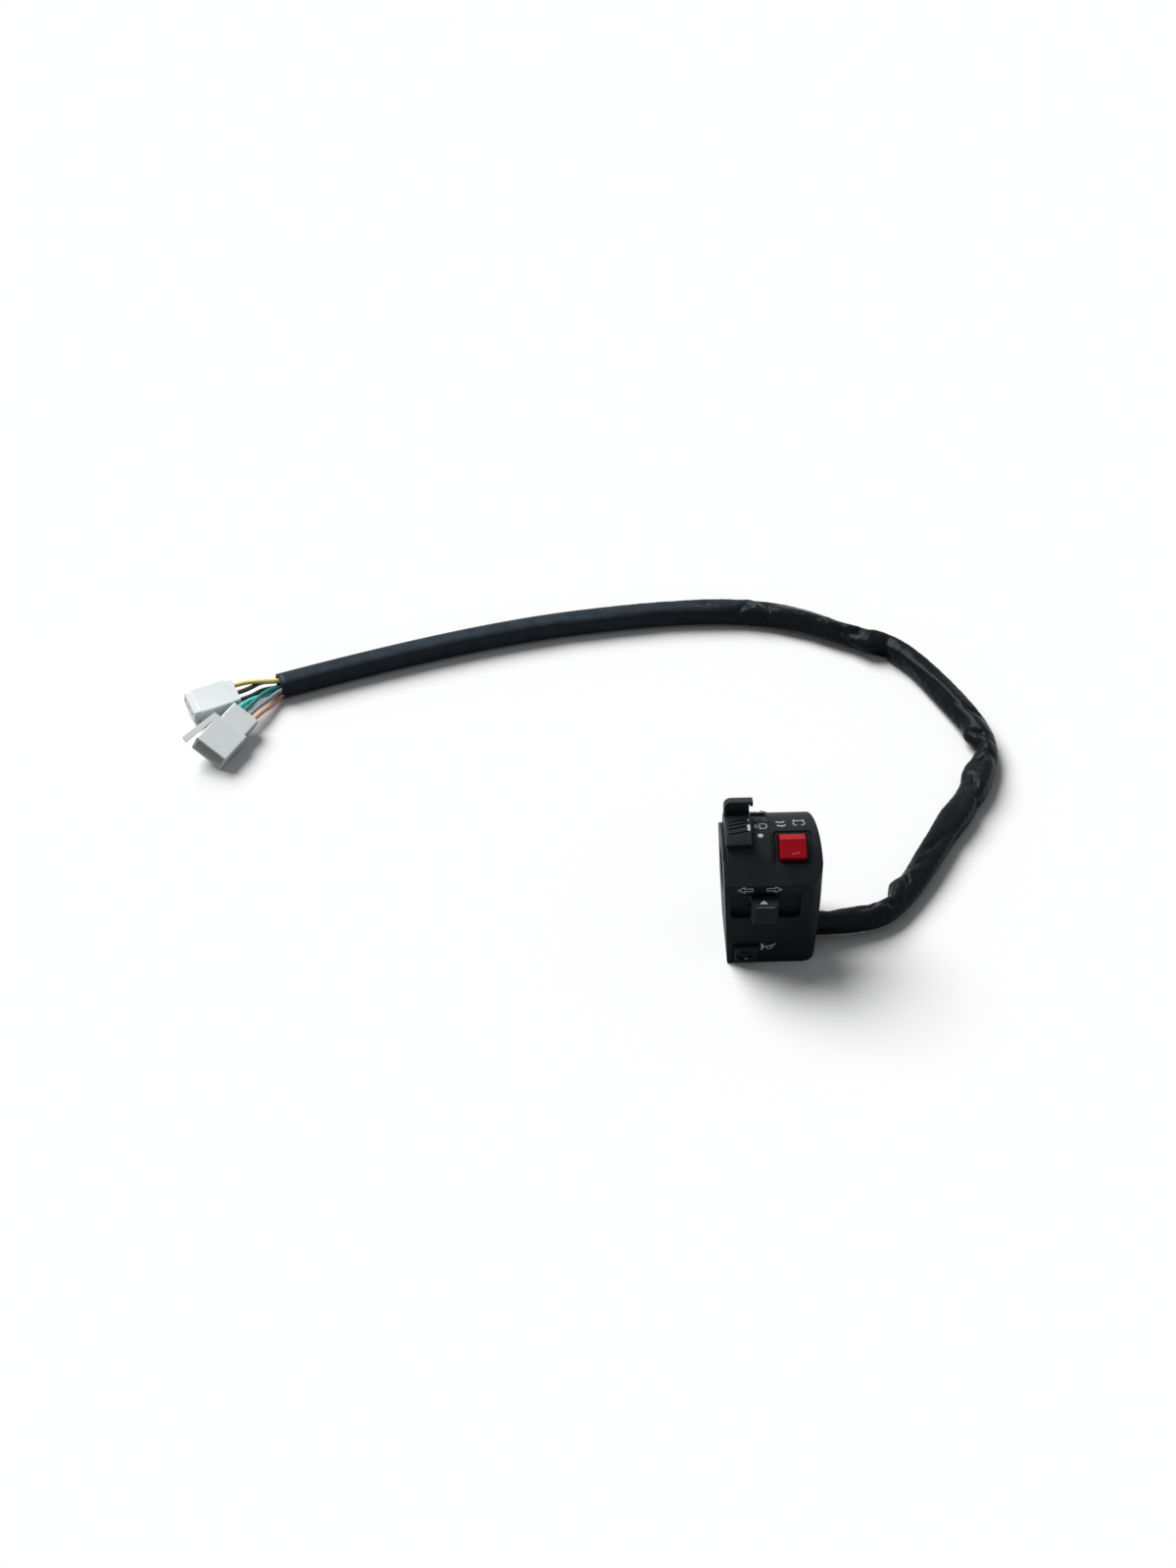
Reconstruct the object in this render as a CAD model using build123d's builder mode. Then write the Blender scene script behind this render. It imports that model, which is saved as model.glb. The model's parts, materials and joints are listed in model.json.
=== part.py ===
from build123d import *
import os
from math import acos, asin, atan2, cos, degrees, hypot, pi, radians, sin, tan

os.makedirs("parts", exist_ok=True)

# Frame: origin on the handlebar axis, +X along the bar to the cable side, +Y away from the rider, +Z up

# Handlebar seat and housing envelope
bar_radius = 11.1
seat_wall = 2.4
crown_radius = 27.0
shell_wall = 2.6
end_wall = 3.2
rear_reach = 20.5
ledge_height = 12.5
base_drop = 40.0
rear_face_drop = 23.0
heel_reach = 9.0
left_reach = 24.0
right_reach = 24.4
rear_right_reach = 18.6
side_bulge = 0.9
front_corner_radius = 9.0
left_draw = 2.8
right_draw = 2.6
base_corner_radius = 3.0
rear_corner_radius = 5.0
edge_radius = 0.9
ledge_radius = 0.7
parting_step_height = 15.0
parting_step_reach = 14.0
running_gap = 0.3
fit_gap = 0.05
overrun = 6.0

front_reach = crown_radius
seat_radius = bar_radius + seat_wall
crown_inner_radius = crown_radius - shell_wall
envelope = base_drop + overrun
front_inner = front_reach - shell_wall
floor_inner = base_drop - shell_wall
left_inner = left_reach - end_wall

# Collar at the bar end of the housing and pocket beside the lever
collar_radius = 22.2
collar_width = 2.0
collar_angles = (-40.0, 62.0)
crown_pocket_depth = 1.4
crown_pocket_edges = (-9.4, -1.8)
crown_pocket_angles = (16.0, 29.0)
panel_step = 0.5
panel_left = -0.8
panel_front_angle = -43.0
panel_rear_angle = 60.0

# Light lever turning round the bar
lever_edges = (-22.8, -9.8)
lever_angles = (-25.6, 18.0)
lever_gap = 0.3
lever_height = 3.4
lever_travel = 12.0
lever_edge_radius = 0.8
stem_edges = (-19.5, -12.5)
stem_angles = (-9.8, -3.8)
stem_foot_radius = 18.0
slot_angle_margin = 1.2
slot_side_gap = 0.4
groove_angles = (0.4, -3.6, -7.9, -13.6)
groove_width = 0.9
groove_depth = 0.7
groove_length = 9.6
groove_slant = 12.0
hook_reach = 6.9
hook_plate = 2.0
hook_rim = 1.5
hook_rim_depth = 5.4
hook_overhang = 1.2
hook_plate_inset = 0.4
hook_lip = 2.4
hook_corner_radius = 3.6
lever_outer_radius = crown_radius + lever_gap + lever_height

# Rotor under the lever
rotor_edges = (-20.3, -11.8)
rotor_hub_wall = 3.0
rotor_skirt_wall = 1.2
rotor_hub_angles = (-34.0, 20.0)
rotor_skirt_angles = (-36.0, 21.0)
rotor_web_angles = (-14.5, 1.0)
rotor_hub_inner = seat_radius + running_gap
rotor_hub_outer = rotor_hub_inner + rotor_hub_wall
rotor_skirt_outer = crown_inner_radius - running_gap
rotor_skirt_inner = rotor_skirt_outer - rotor_skirt_wall

# Light contacts and detent
light_base_wall = 1.6
light_base_angles = (-60.0, 26.0)
light_base_gap = 1.6
light_track_radius = 15.3
detent_angle = -26.0
detent_ball_radius = 1.25
detent_track_depth = 1.2
detent_track_margin = 6.0
detent_spring_length = 4.6
light_pad_radii = (19.4, 22.4)
light_pad_angles = ((-46.0, -34.0), (-31.0, -19.0), (-16.0, -4.0))
light_pad_height = 0.5
wiper_thickness = 0.4
wiper_angles = (-13.0, -1.0)
wiper_rise = 0.55
rib_wall = 4.4
light_rib_angles = (-53.0, -22.0)
light_screw_angles = (-47.0, -35.0)
light_screw_radius_place = 21.0
light_screw_length = 5.6

# Turn signal recess, knob and carriage
turn_x = -4.2
turn_z = -0.7
turn_recess_edges = (-20.4, 13.8)
turn_recess_levels = (-9.2, 7.6)
turn_recess_depth = 3.5
turn_recess_radius = 2.2
turn_floor_wall = 2.0
turn_travel = 4.0
turn_push = 1.8
knob_stand = 7.0
knob_back_gap = 2.8
knob_height = 12.2
knob_base_width = 13.2
knob_face_width = 11.0
knob_edge_radius = 0.7
knob_nub_radius = 1.5
knob_nub_rise = 0.6
knob_nub_slope = 30.0
knob_nub_drop = 2.2
stem_width = 6.0
stem_bore_radius = 2.1
stem_hook_rise = 0.6
stem_hook_wall = 0.8
carriage_wall = 4.4
carriage_height = 13.0
carriage_mouth_wall = 0.8
carriage_floor_wall = 0.6
rail_wall = 1.3
rail_height = 3.4
return_spring_radius = 1.6
return_spring_bore = 1.0
return_spring_length = 7.6
follower_width = 2.6
turn_base_wall = 1.6
turn_contact_radius = 1.3
turn_contact_rise = 0.15
turn_wiper_size = (8.0, 2.2)
turn_screw_offsets = ((1.0, 9.4), (13.4, -8.9))
turn_board_margin = 9.6
turn_board_top = 6.2

# Horn button
horn_x = -12.0
horn_width = 11.8
horn_levels = (-37.0, -27.5)
horn_rise = 2.4
horn_travel = 2.0
horn_flange = 0.5
horn_flange_wall = 1.2
horn_skirt = 2.2
horn_dimple_radius = 3.7
horn_dimple_depth = 0.9
horn_nub_radius = 1.1
horn_stem_radius = 1.9
horn_disc_radius = 3.5
horn_disc_wall = 0.5
horn_panel_edges = (-18.8, 5.2)
horn_panel_levels = (-38.4, -26.8)
horn_panel_depth = 0.5
horn_base_wall = 1.6
horn_base_reach = 15.2
horn_contact_radius = 0.7
horn_contact_place = 2.95
horn_contact_rise = 0.4
horn_disc_play = 0.2
horn_screw_offset = 4.6
horn_screw_level = -24.0
horn_spring_radius = 4.4
horn_spring_wall = 0.6

# Red rocker on the tilted crown facet
stop_x = 10.0
facet_tilt = 25.6
facet_distance = 24.4
facet_floor_wall = 2.0
facet_width = 19.4
facet_length = 17.8
facet_radius = 2.4
cap_width = 13.1
cap_length = 13.4
cap_skirt = 3.2
cap_ridge_rise = 5.0
cap_front_rise = 3.9
cap_rear_rise = 1.6
cap_ridge_share = 0.70
cap_edge_radius = 0.9
cap_side_gap = 0.6
pivot_drop = 3.6
pivot_radius = 1.0
pivot_length = 19.4
pivot_fit = 0.06
hub_width = 6.0
hub_drop = 7.4
stop_base_wall = 1.4
stop_base_drop = 8.8
stop_base_width = 16.8
stop_base_length = 23.6
ear_wall = 1.5
ear_width = 5.4
stop_pad_size = (2.2, 9.0)
stop_pad_rise = 0.4
stop_wiper_wall = 0.4
stop_screw_offset = (6.0, 9.8)

# Screws
case_screw_x = -3.8
case_screw_levels = (16.8, -16.8)
case_screw_head_radius = 3.4
case_screw_head_height = 2.6
case_screw_radius = 2.0
case_screw_length = 24.0
case_screw_seat = 16.4
case_boss_radius = 3.6
case_head_wall = 1.4
case_head_floor = 2.4
case_boss_reach = 9.6
small_screw_head_radius = 2.0
small_screw_head_height = 1.3
small_screw_radius = 1.1
small_screw_length = 6.0
small_post_radius = 2.0
cross_width = 0.7
cross_share = 0.72
cross_depth_share = 0.55

# Cable exit
sleeve_radius = 6.5
exit_y = -9.0
exit_z = -31.2
exit_x = 23.0
grommet_wall = 0.8
grommet_length = 7.0
bundle_radius = 3.0
clamp_width = 6.0
clamp_wall = 0.9
clamp_x = 9.5
clamp_screw_reach = 8.4
clamp_tail_width = 4.4
inner_wire_radius = 0.9
inner_wire_place = 1.3
horn_solder_x = -7.2
turn_solder_x = 1.2
turn_solder_level = -9.6
turn_solder_run = 2.3
light_route_x = -16.9
light_route_level = -13.0
light_solder_level = 9.9
light_solder_reach = 15.2
stop_route_x = 1.6
stop_route_level = -22.5
stop_route_reaches = (-12.0, -15.6)
stop_route_share = 0.73
stop_solder_place = (5.0, -10.8)
stop_solder_run = 3.4

# Harness wires and connectors
arc_share = 0.45
wire_radius = 1.1
lead_run = 7.5
yellow_place = (-4.2, 1.5)
brown_place = (-1.4, 3.6)
black_place = (-4.0, -1.8)
teal_places = ((0.8, 2.4), (1.2, -0.9))
grey_place = (3.9, 0.9)
orange_place = (3.2, -2.6)

# Course of the sleeve: along the bar from the exit, round the right and back over the top to the left
sleeve_z = sleeve_radius - base_drop
sleeve_points = (
    (exit_x, exit_y, exit_z),
    (51.0, exit_y, exit_z),
    (77.2, 9.5, sleeve_z),
    (111.1, 64.6, sleeve_z),
    (131.0, 114.6, sleeve_z),
    (116.5, 193.4, sleeve_z),
    (61.2, 233.6, sleeve_z),
    (-19.0, 243.2, sleeve_z),
    (-153.7, 223.9, sleeve_z),
    (-251.5, 186.0, sleeve_z),
)

# Connectors at the far end of the harness, lying rolled on the floor
upper_place = (-287.1, 174.0)
upper_yaw = 205.0
upper_roll = 15.0
upper_length = 27.0
upper_width = 16.6
upper_height = 9.6
upper_lip = 0.8
upper_lip_length = 4.0
cell_width = 2.6
cell_height = 2.4
cell_pitch = 5.0
lower_place = (-281.2, 137.2)
lower_yaw = 240.0
lower_roll = 26.0
shroud_length = 20.4
shroud_width = 19.6
shroud_height = 10.4
shroud_wall = 1.2
plug_rear_length = 14.0
plug_rear_width = 16.6
plug_rear_height = 8.6
latch_outline = ((-10.2, -9.0), (-10.2, -12.0), (15.4, -15.4), (16.8, -12.2), (-4.0, -9.9), (-4.0, -9.0))
latch_wall = 1.3
blade_width = 1.9
blade_wall = 0.8
blade_length = 23.0
blade_pitch = 3.4

# Derived planes and levels
knob_reach = front_reach + knob_stand
turn_floor_outer = front_reach - turn_recess_depth
turn_floor_inner = turn_floor_outer - turn_floor_wall
carriage_front = turn_floor_inner - running_gap
carriage_back = carriage_front - carriage_wall
slot_half = stem_width / 2 + turn_travel + running_gap
carriage_half = slot_half + turn_travel
turn_base_front = carriage_back - running_gap
turn_base_back = turn_base_front - turn_base_wall
rail_level = carriage_height / 2 + running_gap
follower_level = turn_z - rail_level - rail_wall - running_gap - return_spring_radius
follower_drop = turn_z - carriage_height / 2 - follower_level + return_spring_radius
facet_normal = Vector(0, -sin(radians(facet_tilt)), cos(radians(facet_tilt)))
facet_plane = Plane(
    origin=Vector(stop_x, 0, 0) + facet_normal * facet_distance, x_dir=(1, 0, 0), z_dir=facet_normal
)


def crown_point(radius, angle):
    """Point on a circle round the bar, its angle measured from the top towards the rear."""
    return (radius * sin(radians(angle)), radius * cos(radians(angle)))


def side_profile(inset):
    """Outline across the bar: flat front, ledge, crown round the bar, rear face and raked heel."""
    ledge_span = hypot(front_reach, ledge_height)
    crown_front = degrees(acos(crown_radius / ledge_span)) - degrees(atan2(front_reach, ledge_height))
    crown_rear = degrees(asin(rear_reach / crown_radius))
    with BuildSketch(Plane.YZ) as profile:
        with BuildLine():
            crown = ThreePointArc(
                crown_point(crown_radius, crown_front),
                (0, crown_radius),
                crown_point(crown_radius, crown_rear),
            )
            Polyline(
                crown @ 1,
                (rear_reach, -rear_face_drop),
                (heel_reach, -base_drop),
                (-front_reach, -base_drop),
                (-front_reach, ledge_height),
                crown @ 0,
            )
        make_face()
        fillet(profile.vertices().sort_by(Axis.X)[-2:], rear_corner_radius)
        if inset:
            offset(amount=-inset, mode=Mode.REPLACE)
    return profile.sketch


def plan_profile(inset):
    """Outline seen along the vertical: rounded front corner and a cable side that narrows to the rear."""
    with BuildSketch(Plane.XY) as profile:
        with BuildLine():
            side = ThreePointArc(
                (right_reach, -front_reach + front_corner_radius),
                (
                    (right_reach + rear_right_reach) / 2 + side_bulge,
                    (rear_reach + front_corner_radius - front_reach) / 2,
                ),
                (rear_right_reach, rear_reach),
            )
            corner = RadiusArc(
                (right_reach - front_corner_radius, -front_reach), side @ 0, -front_corner_radius
            )
            Polyline(side @ 1, (-left_reach, rear_reach), (-left_reach, -front_reach), corner @ 0)
        make_face()
        if inset:
            offset(amount=-inset, mode=Mode.REPLACE)
    return profile.sketch


def front_profile(inset):
    """Outline seen by the rider: upright above the ledge, drawn in below it."""
    with BuildSketch(Plane.XZ) as profile:
        with BuildLine():
            Polyline(
                (-left_reach, crown_radius),
                (-left_reach, ledge_height),
                (-left_reach + left_draw, -base_drop),
                (right_reach - right_draw, -base_drop),
                (right_reach, 0),
                (right_reach, crown_radius),
                close=True,
            )
        make_face()
        fillet(profile.vertices().group_by(Axis.Y)[0].sort_by(Axis.X)[-1], base_corner_radius)
        if inset:
            offset(amount=-inset, mode=Mode.REPLACE)
    return profile.sketch


def ring_sector(inner_radius, outer_radius, angles):
    """Sector of a ring round the bar, between two angles measured from the top towards the rear."""
    first, last = angles
    middle = (first + last) / 2
    with BuildSketch(Plane.YZ) as sector:
        with BuildLine():
            inner = ThreePointArc(
                crown_point(inner_radius, first),
                crown_point(inner_radius, middle),
                crown_point(inner_radius, last),
            )
            outer = ThreePointArc(
                crown_point(outer_radius, first),
                crown_point(outer_radius, middle),
                crown_point(outer_radius, last),
            )
            Line(inner @ 0, outer @ 0)
            Line(inner @ 1, outer @ 1)
        make_face()
    return sector.sketch


def ring_block(inner_radius, outer_radius, angles, edges):
    """Ring sector between two stations along the bar."""
    left, right = edges
    with BuildPart() as block:
        extrude(ring_sector(inner_radius, outer_radius, angles), amount=right - left)
    return block.part.moved(Location((left, 0, 0)))


def pan_screw(seat, head_radius, head_height, shank_radius, length):
    """Cross-head screw whose head stands on the seat plane and whose shank runs back from it."""
    arm = cross_share * 2 * head_radius
    with BuildPart() as screw:
        with BuildSketch(seat):
            Circle(head_radius)
        extrude(amount=head_height)
        with BuildSketch(seat):
            Circle(shank_radius)
        extrude(amount=-length)
        with BuildSketch(seat.offset(head_height)):
            Rectangle(arm, cross_width)
            Rectangle(cross_width, arm)
        extrude(amount=-cross_depth_share * head_height, mode=Mode.SUBTRACT)
    return screw.part


def spring_tube(start, outer_radius, bore_radius, length):
    """Envelope of a coil spring that stands on a plane."""
    with BuildPart() as spring:
        with BuildSketch(start):
            Circle(outer_radius)
            Circle(bore_radius, mode=Mode.SUBTRACT)
        extrude(amount=length)
    return spring.part


def lying_plane(place, yaw, roll, width, height):
    """Section plane of a box lying on the floor: Z towards its mouth, X to its lower side."""
    level = (width * sin(radians(roll)) + height * cos(radians(roll))) / 2 - base_drop
    level_side = Vector(-sin(radians(yaw)), cos(radians(yaw)), 0)
    side = level_side * cos(radians(roll)) - Vector(0, 0, sin(radians(roll)))
    return Plane(origin=(*place, level), x_dir=side, z_dir=(cos(radians(yaw)), sin(radians(yaw)), 0))


def run_radii(points):
    """Radius of each bend: the arc share of the shorter run over the tangent of half the turn."""
    radii = []
    for before, here, after in zip(points, points[1:], points[2:]):
        first_run = Vector(*here) - Vector(*before)
        second_run = Vector(*after) - Vector(*here)
        half_turn = radians(first_run.get_angle(second_run)) / 2
        radii.append(arc_share * min(first_run.length, second_run.length) / tan(half_turn))
    return radii


def run_tube(points, radius):
    """Round tube along straight runs joined by tangent arcs."""
    with BuildPart() as run:
        with BuildLine() as route:
            FilletPolyline(*points, radius=run_radii(points))
        with BuildSketch(Plane(origin=route.line @ 0, z_dir=route.line % 0)):
            Circle(radius)
        sweep()
    length = sum(edge.length for edge in route.edges())
    share = run.part.volume / (pi * radius**2 * length)
    print("run of", round(length, 1), "mm, least radius", round(min(run_radii(points)), 1), "mm")
    print("volume share", round(share, 4))
    return run.part


# Module screw seats, shared by the posts, the plates and the screws
light_base_left = rotor_edges[1] + light_base_gap
light_base_right = light_base_left + light_base_wall
turn_screw_places = tuple((turn_x + across, turn_z + up) for across, up in turn_screw_offsets)
horn_screw_places = (
    (horn_x - horn_screw_offset, horn_screw_level),
    (horn_x + horn_screw_offset, horn_screw_level),
)
stop_screw_places = ((-stop_screw_offset[0], -stop_screw_offset[1]), stop_screw_offset)
clamp_screw_place = (clamp_x, exit_y - clamp_screw_reach)

# Outer form and inner cavity of the closed housing
with BuildPart() as body_form:
    extrude(side_profile(0), amount=envelope, both=True)
    extrude(plan_profile(0), amount=envelope, both=True, mode=Mode.INTERSECT)
    extrude(front_profile(0), amount=envelope, both=True, mode=Mode.INTERSECT)
    ledge_edge = body_form.edges().filter_by(Axis.X).group_by(Axis.Y)[0].sort_by(Axis.Z)[-1]
    crown_side_edge = body_form.edges().filter_by(GeomType.BSPLINE).sort_by(Axis.Z)[-1]
    fillet([ledge_edge, crown_side_edge], ledge_radius)

with BuildPart() as cavity_form:
    extrude(side_profile(shell_wall), amount=envelope, both=True)
    extrude(plan_profile(shell_wall), amount=envelope, both=True, mode=Mode.INTERSECT)
    extrude(front_profile(shell_wall), amount=envelope, both=True, mode=Mode.INTERSECT)
    split(bisect_by=Plane.YZ.offset(-left_inner), keep=Keep.TOP)

# Pads, rails, posts and screw bosses that stand inside the housing
turn_face = Plane.XZ.offset(turn_floor_inner)
front_face = Plane.XZ.offset(front_reach)
turn_recess_width = turn_recess_edges[1] - turn_recess_edges[0]
turn_recess_height = turn_recess_levels[1] - turn_recess_levels[0]
turn_recess_centre = (sum(turn_recess_edges) / 2, sum(turn_recess_levels) / 2)
facet_post_length = stop_base_drop - facet_floor_wall
light_rib_left = light_base_right
spring_half = follower_width / 2 + running_gap + return_spring_length

with BuildPart() as inner_blocks:
    with BuildSketch(turn_face):
        with Locations(turn_recess_centre):
            Rectangle(turn_recess_width + 2 * turn_floor_wall, turn_recess_height + 2 * turn_floor_wall)
    extrude(amount=front_reach - turn_floor_inner)
    with BuildSketch(turn_face):
        with Locations((turn_x, turn_z + rail_level + rail_wall / 2)):
            Rectangle(2 * (carriage_half + turn_travel), rail_wall)
        with Locations((turn_x, turn_z - rail_level - rail_wall / 2)):
            Rectangle(2 * (carriage_half + turn_travel), rail_wall)
            Rectangle(2 * (follower_width / 2 + turn_travel + running_gap), rail_wall, mode=Mode.SUBTRACT)
        with Locations(
            (turn_x - spring_half - rail_wall / 2, follower_level),
            (turn_x + spring_half + rail_wall / 2, follower_level),
        ):
            Rectangle(rail_wall, 2 * return_spring_radius)
    extrude(amount=-rail_height)
    with BuildSketch(turn_face):
        with Locations(*turn_screw_places):
            Circle(small_post_radius)
    extrude(amount=turn_base_front - turn_floor_inner)
    with BuildSketch(Plane.XZ.offset(front_inner)):
        with Locations(*horn_screw_places):
            Circle(small_post_radius)
    extrude(amount=horn_base_reach + horn_base_wall - front_inner)
    with BuildSketch(facet_plane.offset(-facet_floor_wall)):
        Rectangle(facet_width + 2 * facet_floor_wall, facet_length + 2 * facet_floor_wall)
    extrude(amount=facet_floor_wall + crown_radius - facet_distance)
    with BuildSketch(facet_plane.offset(-facet_floor_wall)):
        with Locations(*stop_screw_places):
            Circle(small_post_radius)
    extrude(amount=-facet_post_length)
    with BuildSketch(Plane.XZ.offset(case_boss_reach)):
        with Locations(*[(case_screw_x, level) for level in case_screw_levels]):
            Circle(case_boss_radius)
    extrude(amount=-case_boss_reach - rear_reach)
    with BuildSketch(Plane.XZ.offset(case_head_floor - case_screw_seat)):
        with Locations(*[(case_screw_x, level) for level in case_screw_levels]):
            Circle(case_screw_head_radius + running_gap + case_head_wall)
    extrude(amount=case_screw_seat - case_head_floor - rear_reach)
    with BuildSketch(Plane.XY.offset(-floor_inner)):
        with Locations(clamp_screw_place):
            Circle(small_post_radius)
    extrude(amount=small_screw_length - clamp_wall)
    add(ring_block(seat_radius, crown_radius, light_rib_angles, (light_rib_left, light_rib_left + rib_wall)))
    with BuildSketch(Plane.YZ):
        Circle(seat_radius)
    extrude(amount=envelope, both=True)
    add(body_form.part, mode=Mode.INTERSECT)

# Whole moulded shell with every recess and opening, before it is parted
slot_angles = (
    stem_angles[0] - lever_travel - slot_angle_margin,
    stem_angles[1] + lever_travel + slot_angle_margin,
)
slot_edges = (stem_edges[0] - slot_side_gap, stem_edges[1] + slot_side_gap)
horn_level = sum(horn_levels) / 2
horn_height = horn_levels[1] - horn_levels[0]
horn_panel_centre = (sum(horn_panel_edges) / 2, sum(horn_panel_levels) / 2)
horn_panel_width = horn_panel_edges[1] - horn_panel_edges[0]
horn_panel_height = horn_panel_levels[1] - horn_panel_levels[0]
beyond = crown_radius + overrun

with BuildPart() as shell:
    add(body_form.part)
    add(cavity_form.part, mode=Mode.SUBTRACT)
    add(inner_blocks.part)
    with BuildSketch(Plane.YZ):
        Circle(bar_radius)
    extrude(amount=envelope, both=True, mode=Mode.SUBTRACT)
    add(
        ring_block(collar_radius, beyond, collar_angles, (-left_reach - overrun, -left_reach + collar_width)),
        mode=Mode.SUBTRACT,
    )
    add(
        ring_block(
            crown_radius - panel_step,
            beyond,
            (panel_front_angle, panel_rear_angle),
            (panel_left, envelope),
        ),
        mode=Mode.SUBTRACT,
    )
    add(
        ring_block(crown_radius - crown_pocket_depth, beyond, crown_pocket_angles, crown_pocket_edges),
        mode=Mode.SUBTRACT,
    )
    add(ring_block(crown_inner_radius - fit_gap, beyond, slot_angles, slot_edges), mode=Mode.SUBTRACT)
    with BuildSketch(facet_plane):
        RectangleRounded(facet_width, facet_length, facet_radius)
    extrude(amount=beyond - facet_distance, mode=Mode.SUBTRACT)
    with BuildSketch(facet_plane.offset(overrun)):
        RectangleRounded(cap_width + 2 * cap_side_gap, cap_length + 2 * cap_side_gap, cap_edge_radius)
    extrude(amount=-overrun - facet_floor_wall - fit_gap, mode=Mode.SUBTRACT)
    with BuildSketch(front_face.offset(-turn_recess_depth)):
        with Locations(turn_recess_centre):
            RectangleRounded(turn_recess_width, turn_recess_height, turn_recess_radius)
    extrude(amount=turn_recess_depth + overrun, mode=Mode.SUBTRACT)
    with BuildSketch(turn_face.offset(-fit_gap)):
        with Locations((turn_x, turn_z)):
            Rectangle(2 * slot_half, stem_width + 2 * running_gap)
    extrude(amount=turn_floor_wall + overrun, mode=Mode.SUBTRACT)
    with BuildSketch(front_face.offset(-horn_panel_depth)):
        with Locations(horn_panel_centre):
            RectangleRounded(horn_panel_width, horn_panel_height, edge_radius)
    extrude(amount=overrun, mode=Mode.SUBTRACT)
    with BuildSketch(front_face.offset(-shell_wall - fit_gap)):
        with Locations((horn_x, horn_level)):
            RectangleRounded(horn_width + 2 * running_gap, horn_height + 2 * running_gap, edge_radius)
    extrude(amount=shell_wall + overrun, mode=Mode.SUBTRACT)
    with BuildSketch(Plane.XZ.offset(-case_screw_seat)):
        with Locations(*[(case_screw_x, level) for level in case_screw_levels]):
            Circle(case_screw_head_radius + running_gap)
    extrude(amount=-overrun, mode=Mode.SUBTRACT)
    with BuildSketch(Plane.XZ.offset(-case_screw_seat - overrun)):
        with Locations(*[(case_screw_x, level) for level in case_screw_levels]):
            Circle(case_screw_radius + fit_gap)
    extrude(amount=case_screw_length + overrun + running_gap, mode=Mode.SUBTRACT)
    with BuildSketch(Plane.YZ.offset(exit_x - grommet_length)):
        with Locations((exit_y, exit_z)):
            Circle(sleeve_radius + grommet_wall + fit_gap)
    extrude(amount=grommet_length + overrun, mode=Mode.SUBTRACT)
    with BuildSketch(Plane.XZ.offset(turn_base_front)):
        with Locations(*turn_screw_places):
            Circle(small_screw_radius + fit_gap)
    extrude(amount=small_screw_length - turn_base_wall, mode=Mode.SUBTRACT)
    with BuildSketch(Plane.XZ.offset(horn_base_reach + horn_base_wall)):
        with Locations(*horn_screw_places):
            Circle(small_screw_radius + fit_gap)
    extrude(amount=small_screw_length - horn_base_wall, mode=Mode.SUBTRACT)
    with BuildSketch(facet_plane.offset(-stop_base_drop)):
        with Locations(*stop_screw_places):
            Circle(small_screw_radius + fit_gap)
    extrude(amount=small_screw_length - stop_base_wall, mode=Mode.SUBTRACT)
    with BuildSketch(Plane.XY.offset(-floor_inner)):
        with Locations(clamp_screw_place):
            Circle(small_screw_radius + fit_gap)
    extrude(amount=small_screw_length, mode=Mode.SUBTRACT)
    with BuildSketch(Plane.YZ.offset(light_rib_left + rib_wall)):
        with Locations(*[crown_point(light_screw_radius_place, angle) for angle in light_screw_angles]):
            Circle(small_screw_radius + fit_gap)
    extrude(amount=-rib_wall, mode=Mode.SUBTRACT)

with BuildPart() as rider_side:
    with BuildSketch(Plane.YZ):
        with BuildLine():
            Polyline(
                (0, -envelope),
                (0, parting_step_height),
                (parting_step_reach, parting_step_height),
                (parting_step_reach, envelope),
                (-envelope, envelope),
                (-envelope, -envelope),
                close=True,
            )
        make_face()
    extrude(amount=envelope, both=True)

# Front housing: carries every switch, the arrows' band and the cable exit
with BuildPart() as front_housing:
    add(shell.part)
    add(rider_side.part, mode=Mode.INTERSECT)
front_housing.part.label = "front_housing"
export_step(front_housing.part, "parts/front_housing.step")

# Rear housing: clamps the bar from behind and closes the cavity
with BuildPart() as rear_housing:
    add(shell.part)
    add(rider_side.part, mode=Mode.SUBTRACT)
rear_housing.part.label = "rear_housing"
export_step(rear_housing.part, "parts/rear_housing.step")


# Light lever: ribbed thumb block with a hooked fin, riding over the crown on one stem
lever_centre = sum(lever_edges) / 2
lever_width = lever_edges[1] - lever_edges[0]
fin_plane = Plane(
    origin=(lever_edges[0], *crown_point(crown_radius + lever_gap, lever_angles[1])),
    x_dir=(1, 0, 0),
    z_dir=(0, -cos(radians(lever_angles[1])), sin(radians(lever_angles[1]))),
)
fin_height = hook_reach + lever_height
hook_right = lever_width + hook_overhang
lever_screw_middle = sum(stem_angles) / 2
stem_centre = sum(stem_edges) / 2
lever_screw_seat = Plane(
    origin=(
        stem_centre,
        *crown_point(rotor_hub_inner + small_screw_head_height + fit_gap, lever_screw_middle),
    ),
    z_dir=(0, *crown_point(-1, lever_screw_middle)),
)

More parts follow.
